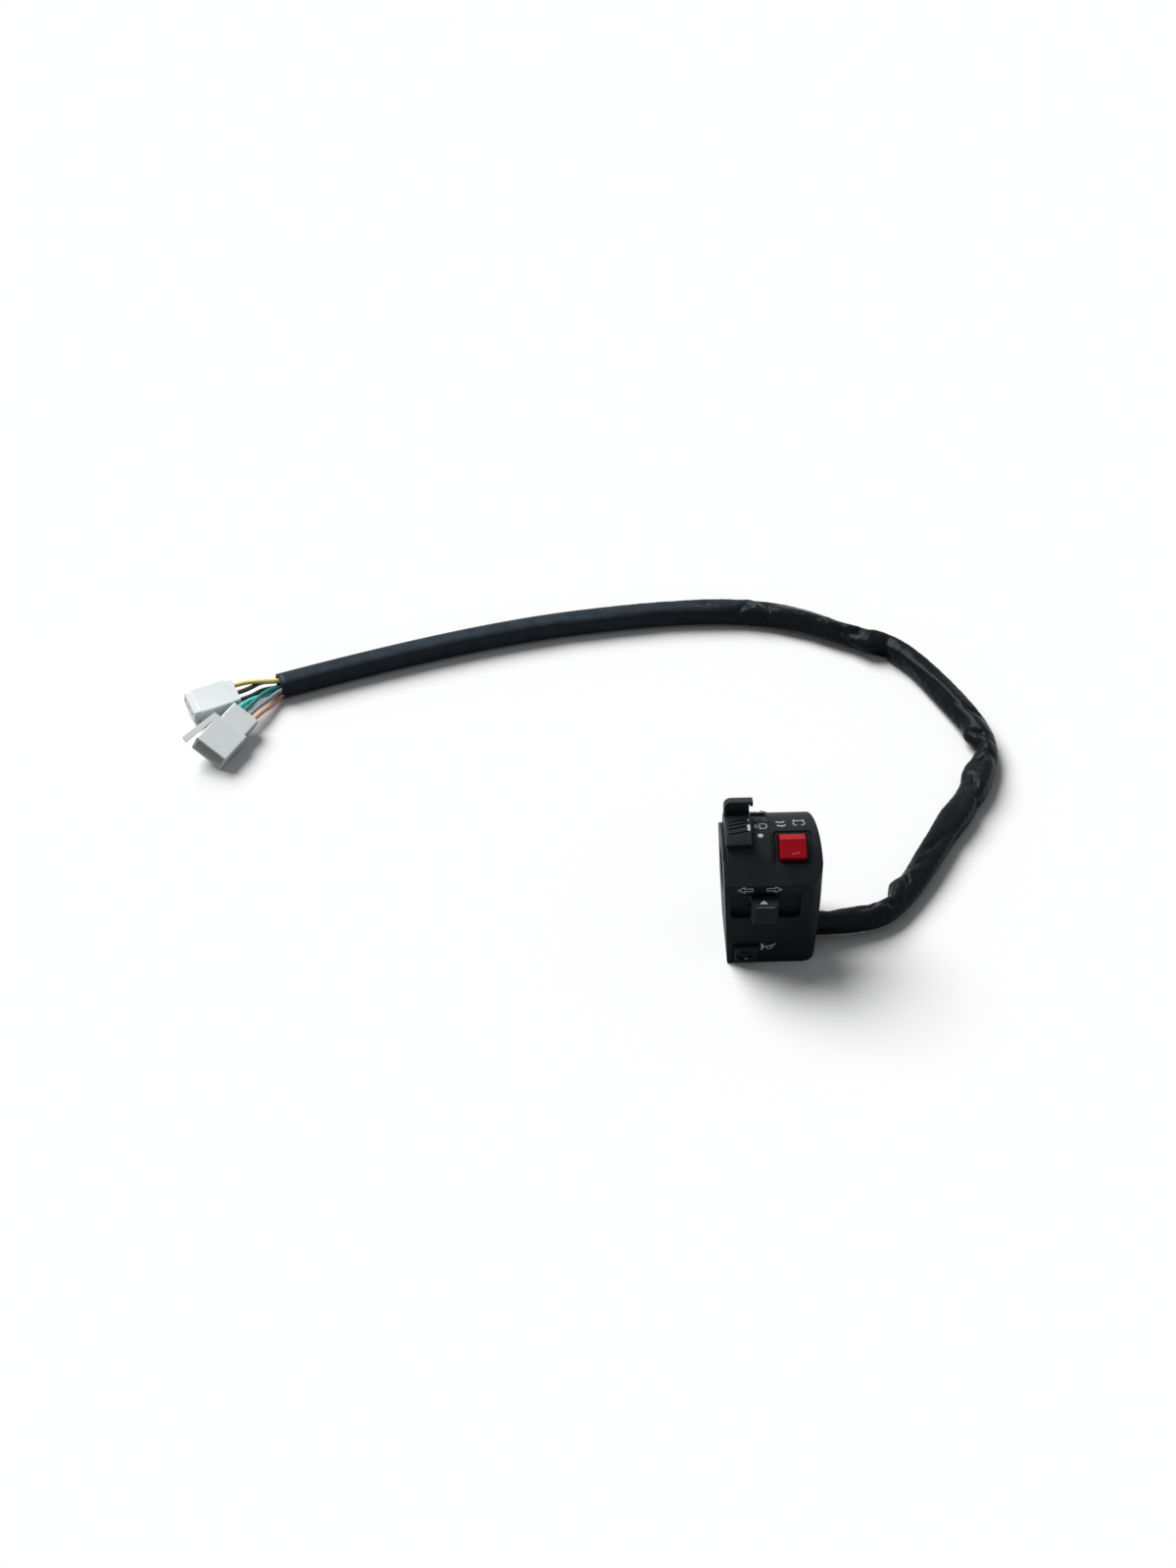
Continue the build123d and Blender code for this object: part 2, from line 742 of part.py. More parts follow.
with BuildPart() as light_lever:
    add(ring_block(crown_radius + lever_gap, lever_outer_radius, lever_angles, lever_edges))
    fillet(light_lever.edges().filter_by(GeomType.CIRCLE).sort_by(SortBy.RADIUS)[-2:], lever_edge_radius)
    for angle in groove_angles:
        groove_plane = Plane(
            origin=(lever_centre, *crown_point(lever_outer_radius, angle)),
            x_dir=(1, 0, 0),
            z_dir=(0, *crown_point(1, angle)),
        ).rotated((0, 0, groove_slant))
        with BuildSketch(groove_plane.offset(overrun)):
            SlotOverall(groove_length, groove_width)
        extrude(amount=-overrun - groove_depth, mode=Mode.SUBTRACT)
    with BuildSketch(fin_plane) as fin_plate:
        plate_reach = (lever_width - hook_plate_inset + hook_rim / 2) / 2
        with Locations((plate_reach, (fin_height - hook_rim / 2) / 2)):
            Rectangle(lever_width - hook_plate_inset - hook_rim / 2, fin_height - hook_rim / 2)
        rear_corner = fin_plate.vertices().group_by(Axis.Y)[-1].sort_by(Axis.X)[0]
        fillet(rear_corner, hook_corner_radius - hook_rim / 2)
    extrude(amount=hook_plate)
    with BuildSketch(fin_plane) as fin_rim:
        with BuildLine():
            Polyline(
                (0, 0),
                (0, fin_height),
                (hook_right, fin_height),
                (hook_right, fin_height - hook_lip),
                (hook_right - hook_rim, fin_height - hook_lip),
                (hook_right - hook_rim, fin_height - hook_rim),
                (hook_rim, fin_height - hook_rim),
                (hook_rim, 0),
                close=True,
            )
        make_face()
        outer_corner = fin_rim.vertices().group_by(Axis.X)[0].sort_by(Axis.Y)[-1]
        inner_corner = fin_rim.vertices().group_by(Axis.X)[1].sort_by(Axis.Y)[-1]
        fillet(outer_corner, hook_corner_radius)
        fillet(inner_corner, hook_corner_radius - hook_rim)
    extrude(amount=hook_rim_depth)
    add(ring_block(stem_foot_radius, crown_radius + lever_gap + lever_height / 2, stem_angles, stem_edges))
    with BuildSketch(lever_screw_seat):
        Circle(small_screw_radius + fit_gap)
    extrude(amount=-small_screw_length - fit_gap, mode=Mode.SUBTRACT)
light_lever.part.label = "light_lever"
export_step(light_lever.part, "parts/light_lever.step")

# Rotor: hub sector on the bar seat, web, and skirt that closes the slot from inside
detent_centre_x = light_base_left - running_gap - detent_ball_radius + detent_track_depth - 2 * fit_gap
detent_plane = Plane(
    origin=(detent_centre_x, *crown_point(light_track_radius, detent_angle)), z_dir=(-1, 0, 0)
)
with BuildPart() as light_rotor:
    add(ring_block(rotor_hub_inner, rotor_hub_outer, rotor_hub_angles, rotor_edges))
    add(ring_block(rotor_hub_inner, rotor_skirt_outer, rotor_web_angles, rotor_edges))
    add(ring_block(rotor_skirt_inner, rotor_skirt_outer, rotor_skirt_angles, rotor_edges))
    add(
        ring_block(
            stem_foot_radius - fit_gap,
            crown_radius,
            (stem_angles[0] - fit_gap, stem_angles[1] + fit_gap),
            (stem_edges[0] - fit_gap, stem_edges[1] + fit_gap),
        ),
        mode=Mode.SUBTRACT,
    )
    with BuildSketch(lever_screw_seat):
        Circle(small_screw_head_radius + fit_gap)
    extrude(amount=overrun, mode=Mode.SUBTRACT)
    with BuildSketch(lever_screw_seat.offset(overrun)):
        Circle(small_screw_radius + fit_gap)
    extrude(amount=-overrun - small_screw_length - fit_gap, mode=Mode.SUBTRACT)
    with BuildSketch(detent_plane.offset(-overrun)):
        Circle(detent_ball_radius + fit_gap)
    extrude(amount=overrun + detent_ball_radius + detent_spring_length, mode=Mode.SUBTRACT)
light_rotor.part.label = "light_rotor"
export_step(light_rotor.part, "parts/light_rotor.step")

# Screw that holds the lever's stem in the rotor
with BuildPart() as lever_screw:
    add(
        pan_screw(
            lever_screw_seat,
            small_screw_head_radius,
            small_screw_head_height,
            small_screw_radius,
            small_screw_length,
        )
    )
lever_screw.part.label = "lever_screw"
export_step(lever_screw.part, "parts/lever_screw.step")

# Detent ball and its spring in the rotor
with BuildPart() as light_detent_ball:
    with Locations(detent_plane.origin):
        Sphere(detent_ball_radius)
light_detent_ball.part.label = "light_detent_ball"
export_step(light_detent_ball.part, "parts/light_detent_ball.step")

with BuildPart() as light_detent_spring:
    add(
        spring_tube(
            detent_plane.offset(detent_ball_radius + fit_gap),
            detent_ball_radius - fit_gap,
            detent_ball_radius / 2,
            detent_spring_length - fit_gap,
        )
    )
light_detent_spring.part.label = "light_detent_spring"
export_step(light_detent_spring.part, "parts/light_detent_spring.step")

# Contact plate beside the rotor, its track for the ball and its brass pads
light_base_edges = (light_base_left, light_base_right)
light_seats = [
    Plane(origin=(light_rib_left + rib_wall, *crown_point(light_screw_radius_place, angle)), z_dir=(1, 0, 0))
    for angle in light_screw_angles
]
with BuildPart() as light_contact_plate:
    add(ring_block(rotor_hub_inner, rotor_skirt_outer, light_base_angles, light_base_edges))
    add(
        ring_block(
            light_track_radius - detent_ball_radius - fit_gap,
            light_track_radius + detent_ball_radius + fit_gap,
            (
                detent_angle - lever_travel - detent_track_margin,
                detent_angle + lever_travel + detent_track_margin,
            ),
            (light_base_left, light_base_left + detent_track_depth),
        ),
        mode=Mode.SUBTRACT,
    )
    with BuildSketch(Plane.YZ.offset(light_base_right)):
        with Locations(*[crown_point(light_screw_radius_place, angle) for angle in light_screw_angles]):
            Circle(small_screw_radius + fit_gap)
    extrude(amount=-light_base_wall, mode=Mode.SUBTRACT)
light_contact_plate.part.label = "light_contact_plate"
export_step(light_contact_plate.part, "parts/light_contact_plate.step")

with BuildPart() as light_contact_pads:
    for pad_angles in light_pad_angles:
        add(ring_block(*light_pad_radii, pad_angles, (light_base_left - light_pad_height, light_base_left)))
light_contact_pads.part.label = "light_contact_pads"
export_step(light_contact_pads.part, "parts/light_contact_pads.step")

with BuildPart() as light_wiper:
    add(ring_block(*light_pad_radii, wiper_angles, (rotor_edges[1], rotor_edges[1] + wiper_thickness)))
    with BuildSketch(
        Plane.YZ.offset(rotor_edges[1] + wiper_thickness)
    ):
        with Locations(crown_point(sum(light_pad_radii) / 2, sum(wiper_angles) / 2)):
            Circle(horn_nub_radius)
    extrude(amount=wiper_rise)
light_wiper.part.label = "light_wiper"
export_step(light_wiper.part, "parts/light_wiper.step")

# Turn knob: thumb block that flares towards the housing, on a hooked square stem
knob_face_plane = Plane.XZ.offset(knob_reach)
knob_back = turn_floor_outer + knob_back_gap
with BuildPart() as turn_knob:
    with BuildSketch(Plane.XY.offset(turn_z - knob_height / 2)) as knob_plan:
        with BuildLine():
            left_flare = SagittaArc(
                (turn_x - knob_base_width / 2, -knob_back),
                (turn_x - knob_face_width / 2, -knob_reach),
                -knob_edge_radius,
            )
            right_flare = SagittaArc(
                (turn_x + knob_face_width / 2, -knob_reach),
                (turn_x + knob_base_width / 2, -knob_back),
                -knob_edge_radius,
            )
            Line(left_flare @ 1, right_flare @ 0)
            Line(right_flare @ 1, left_flare @ 0)
        make_face()
    extrude(amount=knob_height)
    fillet(turn_knob.faces().sort_by(Axis.Y)[0].edges(), knob_edge_radius)
    with BuildSketch(knob_face_plane):
        with Locations((turn_x, turn_z - knob_nub_drop)):
            Circle(knob_nub_radius)
    extrude(amount=knob_nub_rise, taper=knob_nub_slope)
    with BuildSketch(Plane.XZ.offset(knob_back)):
        with Locations((turn_x, turn_z)):
            Rectangle(stem_width, stem_width)
    extrude(amount=-(knob_back - carriage_front + carriage_mouth_wall + fit_gap + stem_hook_wall))
    with BuildSketch(Plane.XZ.offset(carriage_front - carriage_mouth_wall - fit_gap)):
        with Locations((turn_x, turn_z)):
            Rectangle(stem_width, stem_width + 2 * stem_hook_rise)
    extrude(amount=-stem_hook_wall)
    with BuildSketch(Plane.XZ.offset(carriage_back)):
        with Locations((turn_x, turn_z)):
            Circle(stem_bore_radius)
    extrude(amount=knob_reach - knob_back_gap - carriage_back, mode=Mode.SUBTRACT)
turn_knob.part.label = "turn_knob"
export_step(turn_knob.part, "parts/turn_knob.step")

# Carriage that slides behind the recess floor and catches the knob's hooks
with BuildPart() as turn_carriage:
    with BuildSketch(Plane.XZ.offset(carriage_front)):
        with Locations((turn_x, turn_z)):
            Rectangle(2 * carriage_half, carriage_height)
        with Locations((turn_x, turn_z - carriage_height / 2 - follower_drop / 2)):
            Rectangle(follower_width, follower_drop)
    extrude(amount=-carriage_wall)
    with BuildSketch(Plane.XZ.offset(carriage_front)):
        with Locations((turn_x, turn_z)):
            Rectangle(stem_width + 2 * fit_gap, stem_width + 2 * fit_gap)
    extrude(amount=-carriage_wall + carriage_floor_wall, mode=Mode.SUBTRACT)
    with BuildSketch(Plane.XZ.offset(carriage_front - carriage_mouth_wall)):
        with Locations((turn_x, turn_z)):
            Rectangle(stem_width + 2 * fit_gap, stem_width + 2 * stem_hook_rise + 2 * fit_gap)
    extrude(amount=-carriage_wall + carriage_floor_wall + carriage_mouth_wall, mode=Mode.SUBTRACT)
turn_carriage.part.label = "turn_carriage"
export_step(turn_carriage.part, "parts/turn_carriage.step")

# Spring that returns the pushed knob
push_spring_seat = carriage_back + carriage_floor_wall + fit_gap
push_spring_start = Plane(origin=(turn_x, -push_spring_seat, turn_z), z_dir=(0, -1, 0))
with BuildPart() as turn_push_spring:
    add(
        spring_tube(
            push_spring_start,
            stem_bore_radius - fit_gap,
            stem_bore_radius / 2,
            knob_reach - knob_back_gap - carriage_floor_wall - carriage_back - 2 * fit_gap,
        )
    )
turn_push_spring.part.label = "turn_push_spring"
export_step(turn_push_spring.part, "parts/turn_push_spring.step")

# Pair of springs that centre the carriage by its follower
follower_centre = (turn_x, -(carriage_front - carriage_wall / 2), follower_level)
with BuildPart() as turn_return_springs:
    for side in (-1, 1):
        spring_start = Plane(
            origin=Vector(*follower_centre) + Vector(side * (follower_width / 2 + fit_gap), 0, 0),
            z_dir=(side, 0, 0),
        )
        add(
            spring_tube(
                spring_start,
                return_spring_radius,
                return_spring_bore,
                return_spring_length + running_gap - 2 * fit_gap,
            )
        )
turn_return_springs.part.label = "turn_return_springs"
export_step(turn_return_springs.part, "parts/turn_return_springs.step")

# Turn signal contact board with its rivets, and the wiper on the carriage
turn_board_levels = (turn_screw_places[1][1] - small_screw_head_radius, turn_z + turn_board_top)
turn_board_edges = (turn_x - turn_board_margin, turn_screw_places[1][0] + small_screw_head_radius)
turn_board_centre = (sum(turn_board_edges) / 2, sum(turn_board_levels) / 2)
contact_pitch = turn_travel + stem_width / 2
with BuildPart() as turn_contact_board:
    with BuildSketch(Plane.XZ.offset(turn_base_front)):
        with Locations(turn_board_centre):
            RectangleRounded(
                turn_board_edges[1] - turn_board_edges[0],
                turn_board_levels[1] - turn_board_levels[0],
                edge_radius,
            )
        with Locations((turn_screw_places[0][0], turn_screw_places[0][1] - small_screw_head_radius)):
            RectangleRounded(2 * small_screw_head_radius, 4 * small_screw_head_radius, edge_radius)
        with Locations(*turn_screw_places):
            Circle(small_screw_radius + fit_gap, mode=Mode.SUBTRACT)
        with Locations((turn_x, turn_z)):
            with GridLocations(contact_pitch, 0, 3, 1):
                Circle(turn_contact_radius, mode=Mode.SUBTRACT)
    extrude(amount=-turn_base_wall)
turn_contact_board.part.label = "turn_contact_board"
export_step(turn_contact_board.part, "parts/turn_contact_board.step")

with BuildPart() as turn_contacts:
    with BuildSketch(Plane.XZ.offset(turn_base_front)):
        with Locations((turn_x, turn_z)):
            with GridLocations(contact_pitch, 0, 3, 1):
                Circle(turn_contact_radius)
    extrude(amount=-turn_base_wall)
    with BuildSketch(Plane.XZ.offset(turn_base_back)):
        with Locations((turn_x, turn_z)):
            with GridLocations(contact_pitch, 0, 3, 1):
                Circle(turn_contact_radius + turn_contact_rise)
    extrude(amount=-turn_contact_rise * 3)
turn_contacts.part.label = "turn_contacts"
export_step(turn_contacts.part, "parts/turn_contacts.step")

with BuildPart() as turn_wiper:
    with BuildSketch(Plane.XZ.offset(carriage_back)):
        with Locations((turn_x, turn_z)):
            RectangleRounded(*turn_wiper_size, edge_radius)
    extrude(amount=-turn_contact_rise)
turn_wiper.part.label = "turn_wiper"
export_step(turn_wiper.part, "parts/turn_wiper.step")

# Horn button: dimpled cap, retaining flange and the stem that carries the contact disc
horn_outer = front_reach + horn_rise
horn_plate_front = horn_base_reach + horn_base_wall
horn_disc_back = horn_plate_front + horn_contact_rise + horn_travel + horn_disc_play
horn_stem_end = horn_disc_back - horn_disc_wall
horn_cap_back = front_inner - horn_skirt
with BuildPart() as horn_button:
    with BuildSketch(Plane.XZ.offset(horn_cap_back)):
        with Locations((horn_x, horn_level)):
            RectangleRounded(horn_width, horn_height, edge_radius)
    extrude(amount=horn_outer - horn_cap_back)
    fillet(horn_button.faces().sort_by(Axis.Y)[0].edges(), knob_edge_radius)
    with BuildSketch(Plane.XZ.offset(front_inner - fit_gap)):
        with Locations((horn_x, horn_level + horn_flange / 2)):
            Rectangle(horn_width + 2 * horn_flange, horn_height + horn_flange)
    extrude(amount=-horn_flange_wall)
    with BuildSketch(Plane.XZ.offset(horn_outer)):
        with Locations((horn_x - horn_nub_radius, horn_level)):
            Circle(horn_dimple_radius)
            Circle(horn_nub_radius, mode=Mode.SUBTRACT)
    extrude(amount=-horn_dimple_depth, mode=Mode.SUBTRACT)
    with BuildSketch(Plane.XZ.offset(horn_stem_end)):
        with Locations((horn_x, horn_level)):
            Circle(horn_stem_radius)
    extrude(amount=horn_cap_back - horn_stem_end)
horn_button.part.label = "horn_button"
export_step(horn_button.part, "parts/horn_button.step")

with BuildPart() as horn_contact_disc:
    with BuildSketch(Plane.XZ.offset(horn_disc_back)):
        with Locations((horn_x, horn_level)):
            Circle(horn_disc_radius)
            Circle(horn_stem_radius + fit_gap, mode=Mode.SUBTRACT)
    extrude(amount=horn_disc_wall)
horn_contact_disc.part.label = "horn_contact_disc"
export_step(horn_contact_disc.part, "parts/horn_contact_disc.step")

with BuildPart() as horn_spring:
    add(
        spring_tube(
            Plane(origin=(horn_x, -horn_plate_front - fit_gap, horn_level), z_dir=(0, -1, 0)),
            horn_spring_radius,
            horn_spring_radius - horn_spring_wall,
            horn_cap_back - horn_plate_front - 2 * fit_gap,
        )
    )
horn_spring.part.label = "horn_spring"
export_step(horn_spring.part, "parts/horn_spring.step")

horn_plate_top = horn_screw_places[0][1] + small_screw_head_radius
horn_plate_bottom = -floor_inner + running_gap
horn_plate_width = horn_screw_places[1][0] - horn_screw_places[0][0] + 2 * small_screw_head_radius
with BuildPart() as horn_contact_plate:
    with BuildSketch(Plane.XZ.offset(horn_base_reach)):
        with Locations((horn_x, (horn_plate_top + horn_plate_bottom) / 2)):
            RectangleRounded(horn_plate_width, horn_plate_top - horn_plate_bottom, edge_radius)
        with Locations(*horn_screw_places):
            Circle(small_screw_radius + fit_gap, mode=Mode.SUBTRACT)
        with Locations((horn_x, horn_level)):
            Circle(horn_stem_radius + running_gap, mode=Mode.SUBTRACT)
    extrude(amount=horn_base_wall)
horn_contact_plate.part.label = "horn_contact_plate"
export_step(horn_contact_plate.part, "parts/horn_contact_plate.step")

with BuildPart() as horn_contacts:
    with BuildSketch(Plane.XZ.offset(horn_plate_front)):
        with Locations((horn_x, horn_level)):
            with PolarLocations(horn_contact_place, 2):
                Circle(horn_contact_radius)
    extrude(amount=horn_contact_rise)
horn_contacts.part.label = "horn_contacts"
export_step(horn_contacts.part, "parts/horn_contacts.step")

# Red rocker cap: ridged across its top, rocking sideways on a pin along the facet
ridge_place = (cap_ridge_share - 1 / 2) * cap_length
pivot_plane = Plane(
    origin=facet_plane.origin - facet_normal * pivot_drop, x_dir=(1, 0, 0), z_dir=facet_plane.y_dir
)
cap_side_plane = Plane(
    origin=facet_plane.origin - facet_plane.x_dir * cap_width / 2,
    x_dir=facet_plane.y_dir,
    z_dir=facet_plane.x_dir,
)
with BuildPart() as stop_rocker:
    with BuildSketch(cap_side_plane):
        with BuildLine():
            Polyline(
                (-cap_length / 2, -cap_skirt),
                (-cap_length / 2, cap_front_rise),
                (ridge_place, cap_ridge_rise),
                (cap_length / 2, cap_rear_rise),
                (cap_length / 2, -cap_skirt),
                close=True,
            )
        make_face()
    extrude(amount=cap_width)
    cap_sides = stop_rocker.faces().filter_by(Axis.X)
    cap_rims = ShapeList([edge for face in cap_sides for edge in face.edges()])
    fillet(cap_rims.sort_by(Axis(facet_plane.origin, facet_normal))[-4:], cap_edge_radius)
    with BuildSketch(facet_plane.offset(-cap_skirt)):
        Rectangle(hub_width, cap_length)
    extrude(amount=cap_skirt - hub_drop)
    with BuildSketch(pivot_plane):
        Circle(pivot_radius + pivot_fit)
    extrude(amount=cap_length, both=True, mode=Mode.SUBTRACT)
stop_rocker.part.label = "stop_rocker"
export_step(stop_rocker.part, "parts/stop_rocker.step")

with BuildPart() as stop_pivot_pin:
    with BuildSketch(pivot_plane):
        Circle(pivot_radius)
    extrude(amount=pivot_length / 2, both=True)
stop_pivot_pin.part.label = "stop_pivot_pin"
export_step(stop_pivot_pin.part, "parts/stop_pivot_pin.step")

# Bracket under the facet: plate on two posts, with an ear for each end of the pin
ear_place = cap_length / 2 + cap_side_gap + running_gap + ear_wall / 2
with BuildPart() as stop_bracket:
    with BuildSketch(facet_plane.offset(-stop_base_drop)):
        RectangleRounded(stop_base_width, stop_base_length, edge_radius)
        with Locations(*stop_screw_places):
            Circle(small_screw_radius + fit_gap, mode=Mode.SUBTRACT)
    extrude(amount=-stop_base_wall)
    with BuildSketch(facet_plane.offset(-stop_base_drop)):
        with Locations((0, -ear_place), (0, ear_place)):
            Rectangle(ear_width, ear_wall)
    extrude(amount=stop_base_drop - facet_floor_wall - fit_gap)
    with BuildSketch(pivot_plane):
        Circle(pivot_radius + fit_gap)
    extrude(amount=pivot_length, both=True, mode=Mode.SUBTRACT)
stop_bracket.part.label = "stop_bracket"
export_step(stop_bracket.part, "parts/stop_bracket.step")

with BuildPart() as stop_contacts:
    with BuildSketch(facet_plane.offset(-stop_base_drop)):
        with GridLocations(hub_width - stop_pad_size[0] / 2, 0, 2, 1):
            Rectangle(*stop_pad_size)
    extrude(amount=stop_pad_rise)
stop_contacts.part.label = "stop_contacts"
export_step(stop_contacts.part, "parts/stop_contacts.step")

with BuildPart() as stop_wiper:
    with BuildSketch(facet_plane.offset(-hub_drop)):
        Rectangle(hub_width, stop_pad_size[1])
    extrude(amount=-stop_wiper_wall)
stop_wiper.part.label = "stop_wiper"
export_step(stop_wiper.part, "parts/stop_wiper.step")

# Screws: two long ones close the housing, the small ones hold the plates and the cable clamp
with BuildPart() as housing_screws:
    for level in case_screw_levels:
        add(
            pan_screw(
                Plane(origin=(case_screw_x, case_screw_seat, level), z_dir=(0, 1, 0)),
                case_screw_head_radius,
                case_screw_head_height,
                case_screw_radius,
                case_screw_length,
            )
        )
housing_screws.part.label = "housing_screws"
export_step(housing_screws.part, "parts/housing_screws.step")

clamp_screw_seat = Plane(origin=(*clamp_screw_place, -floor_inner + small_screw_length), z_dir=(0, 0, 1))
module_seats = [clamp_screw_seat]
for place_x, place_z in turn_screw_places:
    module_seats.append(Plane(origin=(place_x, -turn_base_back, place_z), z_dir=(0, 1, 0)))
for place_x, place_z in horn_screw_places:
    module_seats.append(Plane(origin=(place_x, -horn_base_reach, place_z), z_dir=(0, 1, 0)))
for place in stop_screw_places:
    seat_origin = facet_plane.offset(-stop_base_drop - stop_base_wall).from_local_coords((*place, 0))
    module_seats.append(Plane(origin=seat_origin, z_dir=-facet_normal))
with BuildPart() as module_screws:
    for seat in module_seats:
        add(
            pan_screw(
                seat, small_screw_head_radius, small_screw_head_height, small_screw_radius, small_screw_length
            )
        )
module_screws.part.label = "module_screws"
export_step(module_screws.part, "parts/module_screws.step")

with BuildPart() as light_plate_screws:
    for seat in light_seats:
        add(
            pan_screw(
                seat, small_screw_head_radius, small_screw_head_height, small_screw_radius, light_screw_length
            )
        )
light_plate_screws.part.label = "light_plate_screws"
export_step(light_plate_screws.part, "parts/light_plate_screws.step")

# Grommet in the cable exit
exit_plane = Plane(origin=(exit_x, exit_y, exit_z), z_dir=(1, 0, 0))
with BuildPart() as cable_grommet:
    with BuildSketch(exit_plane):
        Circle(sleeve_radius + grommet_wall)
        Circle(bundle_radius + fit_gap, mode=Mode.SUBTRACT)
    extrude(amount=-grommet_length)
cable_grommet.part.label = "cable_grommet"
export_step(cable_grommet.part, "parts/cable_grommet.step")

# Sheathed bundle from the grommet to the switch plates, and the clamp that anchors it
bundle_start = clamp_x - 2 * clamp_width / 3
with BuildPart() as wire_bundle:
    with BuildSketch(exit_plane):
        Circle(bundle_radius)
    extrude(amount=bundle_start - exit_x)
wire_bundle.part.label = "wire_bundle"
export_step(wire_bundle.part, "parts/wire_bundle.step")

clamp_level = -floor_inner + small_screw_length
clamp_ring_radius = bundle_radius + fit_gap + clamp_wall
clamp_tail_length = clamp_screw_reach + clamp_tail_width / 2
with BuildPart() as cable_clamp:
    with BuildSketch(exit_plane.offset(clamp_x - exit_x - clamp_width / 2)):
        Circle(clamp_ring_radius)
    extrude(amount=clamp_width)
    with BuildSketch(Plane.XY.offset(clamp_level)):
        with Locations((clamp_x, exit_y - clamp_tail_length / 2)):
            Rectangle(clamp_width, clamp_tail_length)
        with Locations(clamp_screw_place):
            Circle(small_screw_radius + fit_gap, mode=Mode.SUBTRACT)
    extrude(amount=-clamp_wall)
    with BuildSketch(exit_plane):
        Circle(bundle_radius + fit_gap)
    extrude(amount=-envelope, mode=Mode.SUBTRACT)
cable_clamp.part.label = "cable_clamp"
export_step(cable_clamp.part, "parts/cable_clamp.step")

# Leads inside the housing, from the end of the bundle to the four switch plates
near_side = exit_y + inner_wire_place
far_side = exit_y - inner_wire_place
upper_row = exit_z + inner_wire_place
lower_row = exit_z - inner_wire_place
stop_solder = facet_plane.offset(-stop_base_drop - stop_base_wall).from_local_coords((*stop_solder_place, 0))
stop_approach = stop_solder - facet_normal * stop_solder_run
horn_route = (
    (bundle_start, far_side, lower_row),
    (horn_solder_x, far_side, lower_row),
    (horn_solder_x, -horn_base_reach, lower_row),
)
turn_route = (
    (bundle_start, far_side, upper_row),
    (turn_solder_x, far_side, upper_row),
    (turn_solder_x, -turn_base_back + turn_solder_run, turn_solder_level),
    (turn_solder_x, -turn_base_back, turn_solder_level),
)
light_route = (
    (bundle_start, near_side, lower_row),
    (light_route_x, near_side, lower_row),
    (light_route_x, -light_solder_reach, light_route_level),
    (light_route_x, -light_solder_reach, light_solder_level),
    (light_base_left, -light_solder_reach, light_solder_level),
)
stop_route = (
    (bundle_start, near_side, upper_row),
    (stop_route_x, near_side, upper_row),
    (stop_route_x, near_side, stop_route_level),
    (stop_solder.X, stop_route_reaches[0], stop_route_level),
    (stop_solder.X, stop_route_reaches[1], stop_route_level - stop_route_level * stop_route_share),
    tuple(stop_approach),
    tuple(stop_solder),
)
with BuildPart() as inner_wires:
    for route in (horn_route, turn_route, light_route, stop_route):
        add(run_tube(route, inner_wire_radius))
inner_wires.part.label = "inner_wires"
export_step(inner_wires.part, "parts/inner_wires.step")

# Outer sleeve of the harness, lying on the floor
with BuildPart() as cable_sleeve:
    add(run_tube(sleeve_points, sleeve_radius))
cable_sleeve.part.label = "cable_sleeve"
export_step(cable_sleeve.part, "parts/cable_sleeve.step")

# Closed connector with three sockets
upper_plane = lying_plane(upper_place, upper_yaw, upper_roll, upper_width, upper_height)
upper_rear = upper_plane.offset(-upper_length / 2)
with BuildPart() as upper_connector:
    with BuildSketch(upper_rear):
        RectangleRounded(upper_width - 2 * upper_lip, upper_height - 2 * upper_lip, edge_radius)
    extrude(amount=upper_length)
    with BuildSketch(upper_rear.offset(upper_lip_length)):
        RectangleRounded(upper_width, upper_height, edge_radius)
    extrude(amount=upper_length - 2 * upper_lip_length)
    with BuildSketch(upper_rear):
        with GridLocations(cell_pitch, 0, 3, 1):
            Rectangle(cell_width, cell_height)
    extrude(amount=upper_length, mode=Mode.SUBTRACT)
upper_connector.part.label = "upper_connector"
export_step(upper_connector.part, "parts/upper_connector.step")

with BuildPart() as upper_terminals:
    with BuildSketch(upper_rear):
        with GridLocations(cell_pitch, 0, 3, 1):
            Rectangle(cell_width - 2 * fit_gap, cell_height - 2 * fit_gap)
    extrude(amount=upper_length - upper_lip_length)
    with BuildSketch(upper_rear.offset(upper_length)):
        with GridLocations(cell_pitch, 0, 3, 1):
            Rectangle(blade_width, blade_wall)
    extrude(amount=-upper_length / 2, mode=Mode.SUBTRACT)
upper_terminals.part.label = "upper_terminals"
export_step(upper_terminals.part, "parts/upper_terminals.step")

